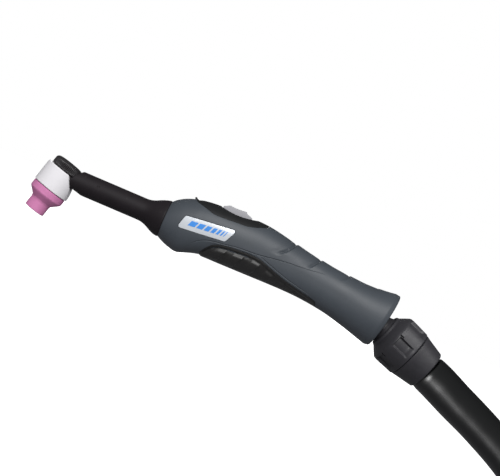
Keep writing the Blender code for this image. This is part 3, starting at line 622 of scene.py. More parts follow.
def solid_tube(name, path, radius, around=32, swell=None, bore=None):
    """A rod along a path, or a pipe when bore gives the inner radii."""
    rings = sweep_rings(path, radius, around, swell)
    if bore is not None:
        rings = np.concatenate([rings, sweep_rings(path, bore, around)[::-1]])
    total = len(rings)
    faces = []
    for i in range(total - (1 if bore is None else 0)):
        faces += band(i, (i + 1) % total, around)
    if bore is None:
        faces += [end_face(0, around)[::-1], end_face(total - 1, around)]
    return make(name, flat(rings), faces)


def distance_along(path):
    return np.concatenate([[0], np.cumsum(np.linalg.norm(np.diff(path, axis=0), axis=1))])


def smoothstep(start, end, x):
    t = np.clip((x - start) / (end - start), 0, 1)
    return t * t * (3 - 2 * t)


# ================================================================ cup, gas lens, electrode
nozzle = lathe("cup_pink_ceramic", [
    (12.8, 17.9, 0.3), (13.4, 17.4, 0.4), (13.4, 13.0, 0.7), (12.6, 11.9, 0.9), (8.35, 7.9, 1.2),
    (7.9, 6.4, 0.8), (7.85, -0.5, 0.35), (7.5, -1.0, 0.2), (6.35, -1.0, 0.25), (6.35, 8.3, 1.0),
    (10.9, 12.4, 0.5), (10.9, 17.9, 0.2)], HEAD, 144, segs=6)
dress(nozzle, "nozzle", "pink_alumina", ["ceramic_nozzle"])

lens = lathe("gas_lens_brass", [
    (4.9, 24.3, 0.2), (4.9, 19.5, 0.1), (7.0, 19.5, 0.2), (7.0, 17.2, 0.1), (10.5, 17.0, 0.3),
    (10.5, 13.2, 0.3), (9.6, 13.2, 0.1), (9.6, 15.4, 0.1), (3.0, 15.4, 0.1), (3.0, 11.6, 0.4),
    (1.5, 11.6, 0.15), (1.5, 17.6), (2.2, 18.3), (2.2, 24.3, 0.1)], HEAD, 72)
dress(lens, "handle", "brass", ["gas_lens_body"])
screen = lathe("gas_lens_mesh", [(3.3, 14.3, 0.1), (9.3, 14.3, 0.1), (9.3, 13.7, 0.1),
                                 (3.3, 13.7, 0.1)], HEAD, 72)
dress(screen, "handle", "steel", ["gas_lens_screen"], "woven_screen")

electrode = lathe("electrode_ground", [
    (0, 41.0), (1.0, 41.0, 0.15), (1.2, 40.8, 0.1), (1.2, 4.2, 0.3), (0.45, 0.0, 0.04), (0, 0.0)],
    HEAD, 40)
dress(electrode, "electrode", "tungsten", ["tungsten_electrode"])

# ================================================================ white PTFE shield
shield = lathe("shield_white", [
    (13.7, 35.0, 0.25), (14.1, 34.55, 0.3), (14.1, 18.6, 0.3), (13.75, 18.2, 0.25),
    (7.4, 18.2, 0.1), (7.4, 19.5), (11.1, 19.5), (11.1, 35.0, 0.15)], HEAD, 160)
# two flats sliced off on the neck side: a point (x, height) on each and its steepness
for name, x, height, steepness in (("slant", 12.7, 25.9, math.atan2(9.1, 6.7)),
                                   ("slant_b", 13.35, 22.2, math.radians(72))):
    combine(shield, block(name, (0, -30, -30), (60, 30, 30), 0,
                          HEAD @ Matrix.Translation(Vector((x, 0, height)) * MM)
                          @ Matrix.Rotation(steepness - math.pi / 2, 4, "Y")))
combine(shield, cylinder("neck_room", NECK_R + 0.4, 0, 40, NECK, 96))
dress(shield, "handle", "white_ptfe", ["heat_shield"], angle=28)

# ================================================================ head and neck overmould
over = lathe("neck_rubber", [
    (0, 104), (NECK_R, 104), (NECK_R, 81.55), (13.55, 81.55, 0.1), (13.85, 81.3, 0.15),
    (13.95, 80.4, 0.4), (13.45, 78.0), (12.55, 75.5), (11.4, 73.0), (10.3, 70.9), (9.6, 69.2),
    (9.05, 67.5), (8.7, 65.8), (8.53, 64.2), (NECK_R, 62.0), (NECK_R, 4), (0, 4)], NECK, 128)
# slight bend of the neck: (x, lift)
BEND = np.array([(0, -0.9), (10, -0.8), (18, -0.55), (28, -0.25), (40, 0.05), (46, 0.08),
                 (54, -0.1), (62, -0.3), (70, -0.35), (79, -0.3), (81.3, 0.0), (104, 0.0)])
for v in over.data.vertices:
    v.co.z += MM * float(np.interp(v.co.x / MM - CROSS_X, BEND[:, 0], BEND[:, 1]))
combine(over, cylinder("drum", 10.7, 19.9, 34.7, HEAD, 96), "UNION")
combine(over, cylinder("core_room", 7.65, 15, 40, HEAD, 64))

# neck tube, narrow and low at the head: (x, z, share of the full radius)
TUBE_STOPS = np.array([(-5, -3.7, 0.5), (13.5, -3.7, 0.5), (18.5, -2.9, 0.7), (24, -1.0, 0.94),
                       (29, 0.0, 1.0), (160, 0.0, 1.0)])


def tube_line(start, end, slack=0.0):
    """The neck tube's path and its radii with slack added."""
    stop_x, stop_z, stop_share = TUBE_STOPS.T
    places = np.concatenate([np.arange(start, 32, 1.0), [end]])
    path = np.array([(x, 0, np.interp(x, stop_x, stop_z)) for x in places])
    radii = [np.interp(x, stop_x, stop_share) * NECK_TUBE_R + slack for x in places]
    return path, np.array(radii)


combine(over, solid_tube("tube_room", *tube_line(1, 112, 0.3), 48))
combine(over, cylinder("cap_room", 11.75, 34.9, 60, HEAD, 128))
combine(over, lathe("under", [(10.9, 28.6), (40, 28.6), (40, 0), (10.9, 0)], HEAD, 96))
# dimples on both sides of the neck: x, z, radius
for x, z, radius in ((28.7, 1.95, 0.9), (52.9, 5.4, 0.6)):
    for side in (-1, 1):
        y = side * math.sqrt(NECK_R**2 - z**2)
        combine(over, rod("dimple", (x, y * 0.93, z * 0.93), (x, y * 1.2, z * 1.2), radius, 24))
dress(over, "handle", "black_rubber", ["head_neck_overmould"], angle=30)

# ================================================================ neck tube and head sleeve
pipe = solid_tube("neck_copper", *tube_line(6, 150), 40)
combine(pipe, cylinder("core_room", 7.35, 15, 40, HEAD, 64))
bore_line, bore_radii = tube_line(1, 155, -1.4)
combine(pipe, solid_tube("pipe_bore", bore_line, np.maximum(bore_radii, 1.0), 32))
dress(pipe, "handle", "copper", ["neck_tube"])

# brown insulating sleeve that shows as a sliver in the shield's slice
sleeve = lathe("head_insulating_sleeve", [(10.75, 34.6), (11.02, 34.6), (11.02, 20.0),
                                          (10.75, 20.0)], HEAD, 128)
combine(sleeve, cylinder("neck_room", NECK_R + 0.3, -3, 40,
                         Matrix.Translation((0, 0, -0.8 * MM)) @ NECK, 96))
dress(sleeve, "handle", "black_phenolic", (), "brown_phenolic")


# ================================================================ back cap
def cap_ribs(angles, radius, height):
    """54 fine ribs round the cap's side."""
    grip = (smoothstep(35.9, 36.5, height) * (1 - smoothstep(39.9, 40.8, height))
            * (radius > 10.8))
    return -0.55 * grip * (0.5 + 0.5 * np.cos(54 * angles)) ** 1.5


cap = lathe("back_cap_ribbed", [
    (0, 42.55), (4.0, 42.5), (7.0, 42.35), (9.0, 42.1), (10.1, 41.7), (10.9, 41.1), (11.35, 40.4),
    (11.5, 39.6), (11.5, 38.6), (11.5, 37.4), (11.5, 36.2), (11.5, 35.8, 0.2), (11.0, 35.3, 0.2),
    (4.9, 35.3), (4.9, 27.6, 0.2), (2.3, 27.6, 0.1), (2.3, 34.0), (1.6, 34.0), (1.6, 41.4),
    (0, 41.4)], HEAD, 432, shape=cap_ribs, segs=3)
dress(cap, "cap", "black_phenolic", ["back_cap"], angle=40)

ring = lathe("cap_oring", [(6.2 + 0.7 * math.cos(a), 34.2 + 0.7 * math.sin(a))
                           for a in np.linspace(0, 2 * math.pi, 16, endpoint=False)], HEAD, 72)
dress(ring, "cap_seal", "black_rubber", ["back_cap_oring"], angle=60)

# ================================================================ handle outlines and relief
# (x, z) outlines; the grip's and the panel's run out past the belly and the back
GRIP_OUTLINE = [(114, -17), (114.6, -11.8), (117.6, -7.4), (121.2, -3.4), (126.5, -1.2),
                (132, -0.2), (140, 0.5), (147, 1.0), (152.8, 1.1), (157.6, 0.6), (163, -1.2),
                (171.5, -3.9), (180.5, -6.4), (191.4, -8.6), (201, -10.2), (206, -11.6),
                (207, -19)]
PANEL_OUTLINE = [(96.6, 40), (97.4, 21.7), (99.5, 20.7), (104, 19.8), (108.5, 18.6),
                 (113.3, 17.3), (120, 17.4), (130, 18.3), (139, 18.9), (144.5, 20.4),
                 (149, 22.4), (154.4, 24.2), (155, 40)]
BADGE_OUTLINE = [(92.5, -1.5, 2.2), (111, 0.4), (128.6, 2.5, 2.2), (133.4, 12.9, 1.9),
                 (114, 10.7), (95.4, 8.5, 1.9)]  # with corner radius
GRIP = corner_cut(GRIP_OUTLINE)
PANEL = corner_cut(PANEL_OUTLINE)
BADGE = rounded(BADGE_OUTLINE, 7)
BADGE = [p for i, p in enumerate(BADGE) if math.dist(p, BADGE[i - 1]) > 0.02]
GRIP_TOP = np.array(GRIP_OUTLINE[1:-1])
# the accent line above the grip
SWOOSH = spline([(105, -10), (109, -6.2), (114, -3), (121.3, -0.9), (129.2, 0.3), (138.7, 1.9),
                 (153.5, 3.1), (165, 4.9), (174.9, 6.4), (189.5, 7.8), (203.9, 9.9)], 6)

# overlapping scale edges on the back: the (x, z) line of each edge, and how far it sinks
SCALES = [
    ([(165.0, 8.2), (168.6, 10.6), (171.8, 13.4), (175.2, 17.6), (177.5, 21.5)], 1.25),
    ([(190.5, 8.3), (192.8, 10.8), (194.7, 13.5), (197.4, 16.5), (198.8, 18.6)], 1.15),
    ([(216.0, 10.0), (217.8, 11.7), (220.2, 13.9), (222.0, 16.2)], 0.9),
    ([(242.0, 13.2), (243.6, 14.6), (245.0, 16.2)], 0.5),
]
FACET_DEPTH = 0.8
# raised slanted pads of the grip: centre x, centre z, width
PADS = ((127.2, -7, 8.2), (140.4, -5.4, 8.4), (153.8, -5.6, 8.2), (166.6, -7.0, 7.4),
        (178.6, -9.4, 6.2), (189.5, -11.2, 4.4))


def grip_top(x):
    return np.interp(x, GRIP_TOP[:, 0], GRIP_TOP[:, 1])


def facet_window(x):
    """Fades the facet above the grip in and out along the handle."""
    return smoothstep(108, 116, x) * (1 - smoothstep(146, 160, x))


def handle_depth(x, y, z):
    """Shallow relief of the soft-touch shell, in mm below the plain skin."""
    sunk = np.zeros_like(x)
    for points, deep in SCALES:
        edge = np.array(points)
        foot, head = edge[0], edge[-1]
        slope = (head[0] - edge[-2, 0]) / (head[1] - edge[-2, 1])
        edge_x = np.where(z > head[1], head[0] + (z - head[1]) * slope,
                          np.interp(z, edge[:, 1], edge[:, 0]))
        past = (x - edge_x) * 0.8
        fade = smoothstep(foot[1], foot[1] + 4.5, z)
        ahead = (0.3 * smoothstep(-7.0, -2.2, past) + 0.7 * smoothstep(-2.6, -0.2, past)) * (past < 0)
        behind = (past >= 0) * (1 - smoothstep(0.0, 0.6, past))
        lip = (past >= 0) * smoothstep(0.0, 0.6, past) * (1 - smoothstep(1.0, 11.0, past))
        # shallower along the crest
        crest = 1 - 0.45 * smoothstep(5.0, 1.0, np.abs(y))
        sunk += fade * (deep * crest * (ahead + behind) - 0.25 * lip)
    # a soft facet between the swoosh line and the grip inlay
    swoosh_z = np.interp(x, SWOOSH[:, 0], SWOOSH[:, 1])
    share = np.clip((swoosh_z - z) / np.maximum(swoosh_z - grip_top(x), 0.5), 0, 1)
    sunk += FACET_DEPTH * share * facet_window(x)
    return sunk


def inlay_depth(x, y, z):
    """Raised slanted pads and a rim on the grip inlay; its top edge follows the facet."""
    below = grip_top(x) - z
    sunk = FACET_DEPTH * facet_window(x) * (1 - smoothstep(2.5, 5.5, below))
    flank = smoothstep(-13.4, -11.6, z)
    sunk += 0.75 * smoothstep(1.2, 2.4, below) * (1 - smoothstep(196, 204, x)) * flank
    for mid_x, mid_z, width in PADS:
        across = (x - mid_x) - 0.55 * (z - mid_z)
        pad = (1 - smoothstep(width / 2 - 0.9, width / 2 + 0.25, np.abs(across)))
        crown = 0.72 + 0.28 * smoothstep(-width / 2, width / 2, across)
        pad = pad * smoothstep(2.4, 5.2, below) * smoothstep(2.2, 3.4, np.abs(y))
        sunk -= 1.15 * pad * crown * flank
    return sunk


# ================================================================ handle shells
SCREWS = {"front": (94.0, -12.3), "middle": (172.0, 13.6), "rear": (212.0, -9.4)}  # x, z
# rounded end rims: x, inset
FRONT_RIM = [(HANDLE_FRONT, 0.3), (81.63, 0.16), (81.72, 0.06), (81.95, 0.0)]
REAR_RIM = [(253.9, 0.0), (254.2, 0.02), (254.6, 0.12), (255.0, 0.24), (256.1, 0.6), (257.0, 0.9),
            (257.35, 1.08), (257.6, 1.4), (HANDLE_REAR, 1.9)]
between_rims = np.concatenate([np.arange(82.8, 160, 0.9), np.arange(160, 253.8, 0.5)])
SECTIONS = ([station(x, inset) for x, inset in FRONT_RIM]
            + [station(float(x)) for x in between_rims]
            + [station(x, inset) for x, inset in REAR_RIM])


def skin_room(name, outline, under, x0, x1, depth):
    """A cutter with an outline's shape, reaching down to depth below the skin."""
    room = prism(name, outline, -40, 40)
    return combine(room, local_skin(under, x0, x1, 1.5, depth, 96))


hollow = skin("hollow", [station(x, WALL) for x in np.linspace(86, 225, 60)], 64)
neck_hole = cylinder("neck_hole", NECK_R + 0.35, 70, 95, NECK, 96)
seat_room = lathe("seat_room", [
    (0, 32), (17.6, 32), (16.9, 28.2), (16.2, 26.2), (15.0, 21.8), (11.7, 8.0),
    (11.7, SEAT_REAR + SEAT_GAP), (SEAT_R + SEAT_GAP, SEAT_REAR + SEAT_GAP),
    (SEAT_R + SEAT_GAP, SEAT_FRONT - SEAT_GAP), (0, SEAT_FRONT - SEAT_GAP)], REAR, 112)
grip_room = skin_room("grip_room", grown(GRIP, INLAY_GAP), "under_a", 108, 212,
                      INLAY_DEPTH + INLAY_GAP)
badge_room = skin_room("badge_room", grown(BADGE, BADGE_GAP), "under_b", 88, 137,
                       BADGE_SUNK + BADGE_DEPTH + BADGE_GAP)
panel_room = skin_room("panel_room", grown(PANEL, 0.12), "under_c", 92, 160,
                       PANEL_DEPTH + PANEL_GAP)
module_room = block("module_room", [c - PANEL_GAP for c in PLUG_LOW],
                    (PLUG_HIGH[0] + PANEL_GAP, PLUG_HIGH[1] + PANEL_GAP, PLUG_HIGH[2]))


def add_screw_bosses(shell, side):
    """Screw bosses, with pilot holes on the left and sunk clearance holes on the right."""
    for x, z in SCREWS.values():
        reach = side_reach(x, z)
        inside = min(side_reach(x + 3.0 * math.cos(a), z + 3.0 * math.sin(a))
                     for a in np.linspace(0, 6.28, 24)) - 0.5
        combine(shell, rod("boss", (x, side * 0.16, z), (x, side * min(reach - 1.3, inside), z),
                           2.9), "UNION")
        if side < 0:
            combine(shell, rod("pilot", (x, 1, z), (x, -(reach - 3.2), z), 1.5))
        else:
            combine(shell, rod("clearance", (x, -1, z), (x, reach + 3, z), 1.55))
            combine(shell, rod("sink", (x, reach - 2.8, z), (x, reach + 6, z), 3.15, 40))


def cut_groove(shell, name, path, thin, swell, fade_in, fade_out):
    """A groove that thins out over the given shares of its length at both ends."""
    t = np.linspace(0, 1, len(path))
    radii = thin + swell * np.minimum(1, np.minimum(t / fade_in, (1 - t) / fade_out))
    combine(shell, solid_tube(name, path, radii, 10))


def build_shell(side, word):
    shell = halved(skin(f"shell_{word}", SECTIONS, 176, handle_depth), side)
    for room in (hollow, neck_hole, seat_room):
        combine(shell, room, keep=True)
    add_screw_bosses(shell, side)
    for room in (grip_room, badge_room, panel_room, module_room):
        combine(shell, room, keep=True)
    accent = []
    for x, z in SWOOSH[2:]:
        sunk = handle_depth(np.array([x]), np.array([side * 10.0]), np.array([z]))[0]
        accent.append((x, side * (side_reach(x, z) - sunk + 0.06), z))
    cut_groove(shell, "groove", accent, thin=0.16, swell=0.42, fade_in=0.1, fade_out=0.3)
    # a finer line just above the grip inlay
    trim_x = np.arange(152.5, 203.5, 1.5)
    trim_z = grip_top(trim_x) + 1.75
    trim = [(x, side * (side_reach(x, z) + 0.1), z) for x, z in zip(trim_x, trim_z)]
    cut_groove(shell, "trim", trim, thin=0.14, swell=0.34, fade_in=0.15, fade_out=0.25)
    dress(shell, "handle", "slate_soft_touch", [f"handle_{word}"], angle=38)


def build_grip(side, word):
    inlay = halved(local_skin(f"grip_pads_{word}", 110, 210, 0.45, 0.0, 200, inlay_depth), side)
    combine(inlay, prism("grip_prism", GRIP, -40, 40), "INTERSECT")
    combine(inlay, local_skin("under_d", 108, 212, 1.5, INLAY_DEPTH, 96))
    dress(inlay, "handle", "dark_grip", [f"grip_inlay_{word}"], angle=40)


def build_badge(side, word):
    plate = halved(local_skin(f"badge_silver_{word}", 88, 137, 1.2, BADGE_SUNK, 128), side, 4.0)
    combine(plate, prism("badge_prism", BADGE, -40, 40), "INTERSECT")
    combine(plate, local_skin("under_e", 86, 139, 1.5, BADGE_SUNK + BADGE_DEPTH, 96))
    dress(plate, "handle", "badge_plate", [f"badge_{word}"])


def build_stripes(side, word):
    """A made-up mark on the badge: slanted blocks that shrink towards the rear."""
    stripes = local_skin(f"badge_stripes_{word}", 88, 137, 1.2, BADGE_SUNK - 0.13, 128)
    halved(stripes, side, 4.0)
    climb, lean, gap = 0.108, 1.75, 1.2
    marks = None
    x = 99.2
    for wide in (5.2, 4.4, 3.6, 2.8, 2.0, 1.2, 0.7):
        low, high = 2.6 + (x - 100) * climb, 6.7 + (x - 100) * climb
        piece = prism("mark", [(x, low), (x + wide, low + wide * climb),
                               (x + wide + lean, high + wide * climb), (x + lean, high)], -40, 40)
        marks = piece if marks is None else combine(marks, piece, "UNION")
        x += wide + gap
    combine(stripes, marks, "INTERSECT")
    combine(stripes, local_skin("under_f", 86, 139, 1.5, BADGE_SUNK + 0.25, 96))
    dress(stripes, "handle", "badge_plate", (), "badge_blue")


for side, word in ((-1, "left"), (1, "right")):
    build_shell(side, word)
    build_grip(side, word)
    build_badge(side, word)
    build_stripes(side, word)

for room in (hollow, neck_hole, seat_room, grip_room, badge_room, panel_room, module_room):
    bpy.data.objects.remove(room, do_unlink=True)

# ================================================================ handle screws
# each lies along +Y with its head on the right
for which, (x, z) in SCREWS.items():
    reach = side_reach(x, z)
    screw_frame = Matrix.Translation(place(x, 0, z)) @ Matrix.Rotation(-math.pi / 2, 4, "X")
    seat = reach - 2.5
    screw = lathe(f"screw_{which}", [
        (0, seat + 1.95), (1.4, seat + 1.85), (2.4, seat + 1.45, 0.3), (2.75, seat + 0.9, 0.3),
        (2.75, seat, 0.1), (1.2, seat, 0.1), (1.2, 4.4 - reach, 0.2), (0, 3.8 - reach)],
        screw_frame, 48)
    # cross recess
    for wide, long in ((0.42, 1.55), (1.55, 0.42)):
        combine(screw, block("drive", (-wide, -long, seat + 0.8), (wide, long, seat + 4), 0,
                             screw_frame))
    dress(screw, "handle", "steel", [f"handle_screw_{which}"])


# ================================================================ switch panel
def panel_depth(x, y, z):
    """A shallow notch across the panel's front end."""
    high = smoothstep(15.0, 20.0, z)
    notch = np.exp(-(((x - 99.6) / 1.5) ** 2)) * high * (1 - smoothstep(6.5, 9.0, np.abs(y)))
    return 0.35 * notch


def pin_bore(name):
    return rod(name, (PIN_X, -12, PIN_Z), (PIN_X, 12, PIN_Z), PIN_BORE_R, 32)


panel = local_skin("panel_black", 93, 159, 0.6, 0.0, 200, panel_depth)
combine(panel, prism("panel_prism", PANEL, -40, 40), "INTERSECT")
combine(panel, local_skin("under_g", 90, 162, 1.5, PANEL_DEPTH, 96))
plug = block("plug", PLUG_LOW, PLUG_HIGH)
combine(plug, local_skin("plug_skin", 92, 160, 1.5, 0.9, 96), "INTERSECT")
combine(panel, plug, "UNION")
FIN = [(95.9, 20.5), (96.0, 22.2), (95.6, 22.9), (95.7, 23.5), (96.3, 23.8), (97.0, 23.6),
       (97.5, 23.0), (98.4, 22.7), (99.6, 22.4), (99.6, 20.5)]  # x, z
combine(panel, prism("fin", FIN, -1.5, 1.5, 0.25, 3), "UNION")
combine(panel, block("cavity", (102.2, -6.9, 15.2), (147.8, 6.9, 21.3)))
combine(panel, block("window", (116.4, -6.0, 18.0), (140.3, 6.0, 45)))
SCOOP_X, SCOOP_FLOOR, SCOOP_R = 128.5, 23.4, 53.6
combine(panel, rod("scoop", (SCOOP_X, -40, SCOOP_FLOOR + SCOOP_R),
                   (SCOOP_X, 40, SCOOP_FLOOR + SCOOP_R), SCOOP_R, 512))
combine(panel, pin_bore("pin_bore"))
combine(panel, block("wire_slot", (145, -5.6, 15.0), (152, 5.6, 16.9)))
dress(panel, "handle", "black_panel", ["switch_panel"], angle=30)

# ================================================================ trigger button
HINGE_R = 2.0
hinge = [(PIN_X + HINGE_R * math.cos(math.radians(a)), PIN_Z + HINGE_R * math.sin(math.radians(a)))
         for a in range(-115, 91, 12)]
# the top from rear to front, as (x, z): a shoulder, a rippled dish and a nose
crown = [(139.9, 25.2), (139.6, 25.7), (138.6, 26.2), (137.2, 26.6), (135.8, 26.95),
         (135.1, 27.35), (134.7, 27.9), (134.2, 28.25), (133.3, 28.35)]
for x in np.arange(132.3, 122.6, -0.2):
    dish = 27.95 - 0.35 * math.sin(math.pi * (x - 122.4) / 10.1) ** 0.8 + 0.03 * (x - 122)
    crown.append((float(x), dish + 0.13 * math.cos(2 * math.pi * (x - 122.5) / 1.6)))
crown += [(122.0, 27.95), (121.2, 27.85), (120.5, 27.5), (119.7, 27.0), (118.6, 26.5),
          (117.7, 26.1), (117.25, 25.5)]
BUTTON = ([(115.2, 19.7), (118.6, 19.7), (118.6, 22.3), (137.2, 22.3), (137.2, 17.6)] + hinge
          + [(139.9, 20.8)] + crown + [(117.2, 21.0), (115.2, 21.0)])
button = prism("button_grey", BUTTON, -5.6, 5.6, 0.6, 4)
combine(button, pin_bore("button_bore"))
dress(button, "trigger", "grey_button", ["trigger_button"], angle=35)

# ================================================================ swivel
seat_profile = [(SEAT_R, SEAT_REAR, 0.2), (SEAT_R, SEAT_FRONT, 0.2)]
for k in range(14):
    height = SEAT_FRONT + (SEAT_REAR - SEAT_FRONT) * k / 13
    seat_profile.append((math.sqrt((BALL_R + 0.3) ** 2 - height * height), height))
dress(lathe("seat_ring_acetal", seat_profile, REAR, 96), "swivel_seat", "acetal",
      ["swivel_seat_ring"])

ball_front = -math.sqrt(BALL_R**2 - BALL_BORE_R**2)
ball_profile = [(math.sqrt(BALL_R**2 - height * height), height)
                for height in np.linspace(ball_front, 7.55, 22)]
ball_profile += [(8.0, 9.5, 0.6), (8.15, 16), (8.5, 22, 2), (9.1, 26, 2), (9.8, 28.6, 1),
                 (10.6, 30.2, 0.5), (11.3, 31.4, 0.2), (11.3, 46.0, 0.3), (9.6, 46.0, 0.2),
                 (9.6, 34, 0.5), (BALL_BORE_R, 27, 0.5)]
dress(lathe("ball_stem", ball_profile, SWIVEL, 96), "swivel", "charcoal_nylon", ["swivel_ball"])


def nut_scoops(angles, radius, height):
    """Six shallow scoops round the nut, each with a crisp front edge."""
    if radius < 18.9:
        return 0 * angles
    turn = np.degrees(angles) % 60 - 30
    across = 1 - smoothstep(11.0, 13.5, np.abs(turn))
    along = (smoothstep(NUT_FRONT + 9.2, NUT_FRONT + 9.7, height)
             * (1 - smoothstep(NUT_FRONT + 19.0, NUT_FRONT + 23.5, height)))
    return -1.9 * across * along


def from_nut(rows):
    """Profile rows with heights counted from the nut's front edge."""
    return [(radius, NUT_FRONT + height, *fillet) for radius, height, *fillet in rows]


nut_side = [(19.6 - 0.4 * max(0.0, (height - 11.0) / 13.4), height)
            for height in (10.9, 11.5, 12.0, 13, 14, 15, 16, 16.5, 17, 18.5, 19.5, 20, 20.5, 21,
                           21.5, 22.0, 22.4, 23)]
nut = lathe("nut_charcoal", from_nut([
    (11.65, 0.4, 0.2), (12.1, 0, 0.2), (12.9, 0.4, 0.3), (13.6, 2.0, 1), (16.4, 4.9, 2),
    (18.7, 7.4, 0.6), (19.4, 8.6, 0.4), (19.45, 9.2), (19.46, 9.35), (19.47, 9.5), (19.48, 9.7),
    (19.55, 10.2), *nut_side, (19.2, 24.3, 0.4), (18.75, 25.05, 0.3), (14.3, 25.1), (14.3, 16),
    (11.65, 16)]), SWIVEL, 240, nut_scoops)
# a small notch beside each scoop
for k in range(6):
    turn = Matrix.Rotation(math.radians(60 * k + 14.5), 4, "Z")
    combine(nut, block("notch", (17.9, -0.6, NUT_FRONT + 8.3), (24, 0.6, NUT_FRONT + 11.6), 0.25,
                       SWIVEL @ turn))
dress(nut, "cable", "charcoal_nylon", ["swivel_nut"], angle=30)

collar = lathe("collar_charcoal", from_nut([
    (18.2, 25.45, 0.2), (18.6, 26.0, 0.3), (17.9, 29.5, 2), (16.4, 38.5, 3), (15.9, 41.6, 0.4),
    (15.2, 42.3, 0.3), (12.7, 42.3, 0.3), (12.3, 40, 0.3), (12.3, 36.9), (13.3, 36.9),
    (13.3, 25.45)]), SWIVEL, 144)
dress(collar, "cable", "charcoal_nylon", ["rear_collar"], angle=30)


# ================================================================ cable sheath
def on_swivel(along, above=0.0):
    """(x, z) of a point along the swivel's axis from the ball centre, and above the axis."""
    return (BALL_X + along * math.cos(CABLE_SLOPE) + above * math.sin(CABLE_SLOPE),
            BALL_Z - along * math.sin(CABLE_SLOPE) + above * math.cos(CABLE_SLOPE))


# inside the collar and its mouth: distance behind the nut's front, height above the axis, radius
SHEATH_FRONT = ((17, 0, 11.3), (24, 0, 11.3), (31, 0, 11.3), (36, 0, 11.3), (40, 0, 11.3),
                (42.36, -0.15, 11.4), (42.45, -0.16, 12.4), (42.7, -0.2, 13.2),
                (43.3, -0.26, 13.75), (44.3, -0.35, 14.1), (46.0, -0.46, 14.35))
# behind the collar: the inner cables' x and z, the sheath's radius, and how far it is shifted
SHEATH_REST = ((*on_swivel(NUT_FRONT + 47, -0.5), 14.4, 0), (310.4, -29.1, 14.5, 0.1),
               (317, -31.9, 14.6, 0.15), (330, -37.6, 14.4, 0.2), (347, -44.7, SHEATH_R, 0.35),
               (364, -52.3, SHEATH_R, 0.45), (381, -60.8, SHEATH_R, 0.5),
               (400, -71.7, SHEATH_R, 0.4), (420, -85.0, SHEATH_R, 0.0))

sheath_line = np.vstack([
    np.array([[*on_swivel(NUT_FRONT + along, above), radius]
              for along, above, radius in SHEATH_FRONT]),
    spline([(x + 0.45 * shift, z + 0.9 * shift, radius) for x, z, radius, shift in SHEATH_REST],
           12)])
sheath_x, sheath_z, sheath_radii = sheath_line.T
sheath_path = np.stack([sheath_x, 0 * sheath_x, sheath_z], -1)
sheath_run = distance_along(sheath_path)


def wrinkles(i, angles):
    """Slight lumps and lengthwise tension in the rubber outside the collar."""
    out = np.zeros_like(angles)
    if sheath_radii[i] > 13.9 and i < len(sheath_path) - 1:
        for k, a in enumerate(angles):
            spot = Vector((sheath_run[i] * 0.035, math.cos(a) * 1.1, math.sin(a) * 1.1))
            out[k] = 0.16 * noise.noise(spot) + 0.05 * noise.noise(spot * 3.1)
    return out


sheath_bore = np.where(sheath_radii < 13.0, sheath_radii - 2.5,
                       np.minimum(sheath_radii - 2.5, 11.9))
sheath = solid_tube("sheath_black", sheath_path, sheath_radii, 72, wrinkles, sheath_bore)
dress(sheath, "cable", "sheath_rubber", ["cable_sheath"], angle=40)

# ================================================================ cables inside the sheath
POWER_ABOVE, CONTROL_ABOVE = -1.9, 4.9  # from the inner line
inner = spline([on_swivel(-6), on_swivel(8)]
               + [on_swivel(NUT_FRONT + along) for along in (5, 17, 38)]
               + [row[:2] for row in SHEATH_REST], 10)


def beside(points, above, short_by):
    """A path above (x, z) points, with its last point pulled back along itself."""
    out = []
    for i, (x, z) in enumerate(points):
        before, after = points[max(i - 1, 0)], points[min(i + 1, len(points) - 1)]
        along = Vector((after[0] - before[0], after[1] - before[1])).normalized()
        out.append((x - along.y * above, 0.0, z + along.x * above))
    path = np.array(out)
    last = path[-1] - path[-2]
    path[-1] = path[-2] + last * max(0.1, 1 - short_by / np.linalg.norm(last))
    return path


def cable_jacket(name, above, radius, bore, around, nodes):
    path = beside(inner, above, 0.5)
    jacket = solid_tube(name, path, radius, around, None, np.full(len(path), bore))
    dress(jacket, "cable", "wire_black", nodes)


def power_strands():
    """Nineteen twisted strands: one in the middle, then rings of six and twelve."""
    core = beside(inner, POWER_ABOVE, 0.8)
    run = distance_along(core)
    side = np.array([0.0, 1.0, 0.0])
    up = np.cross(side, unit_tangents(core))
    around = 8
    verts, faces, base = [], [], 0
    for ring_radius, count in ((0.0, 1), (0.98, 6), (1.96, 12)):
        for k in range(count):
            turn = 2 * math.pi * k / count + run / 45 * 2 * math.pi * 0.8
            path = (core + (np.cos(turn) * ring_radius)[:, None] * side
                    + (np.sin(turn) * ring_radius)[:, None] * up)
            rings = sweep_rings(path, 0.47, around)
            verts.append(flat(rings))
            last = len(rings) - 1
            for i in range(last):
                faces += band(i, i + 1, around, base)
            faces += [end_face(0, around, base)[::-1], end_face(last, around, base)]
            base += len(rings) * around
    return make("power_strands", np.concatenate(verts), faces)


cable_jacket("power_jacket", POWER_ABOVE, 4.5, 3.2, 40, ["power_cable_jacket"])
dress(power_strands(), "cable", "copper", ["power_cable_conductor"], angle=50)
cable_jacket("control_jacket", CONTROL_ABOVE, 1.6, 1.15, 24, ["control_cable"])
for y, word in ((0.55, "red"), (-0.55, "black")):
    path = beside(inner[-24:], CONTROL_ABOVE, 0.2) + np.array([0, y, 0])
    dress(solid_tube(f"control_core_{word}", path, 0.5, 12), "cable", f"wire_{word}")

# ================================================================ finishes of the CAD nodes
CAD_FINISHES = {
    "collet": "copper", "head_core": "brass", "neck_tube": "copper",
    "trigger_pivot_pin": "steel", "trigger_spring": "steel", "microswitch_body": "wire_black",
    "microswitch_plunger": "acetal", "switch_wire_a": "wire_red", "switch_wire_b": "wire_black",
    "power_cable_connector": "brass", "power_cable_lead": "wire_black",
    "control_cable_lead": "wire_black", "sheath_clamp": "steel",
}
for cad_name, which in CAD_FINISHES.items():
    paint(cad["nodes"][cad_name].data, which)

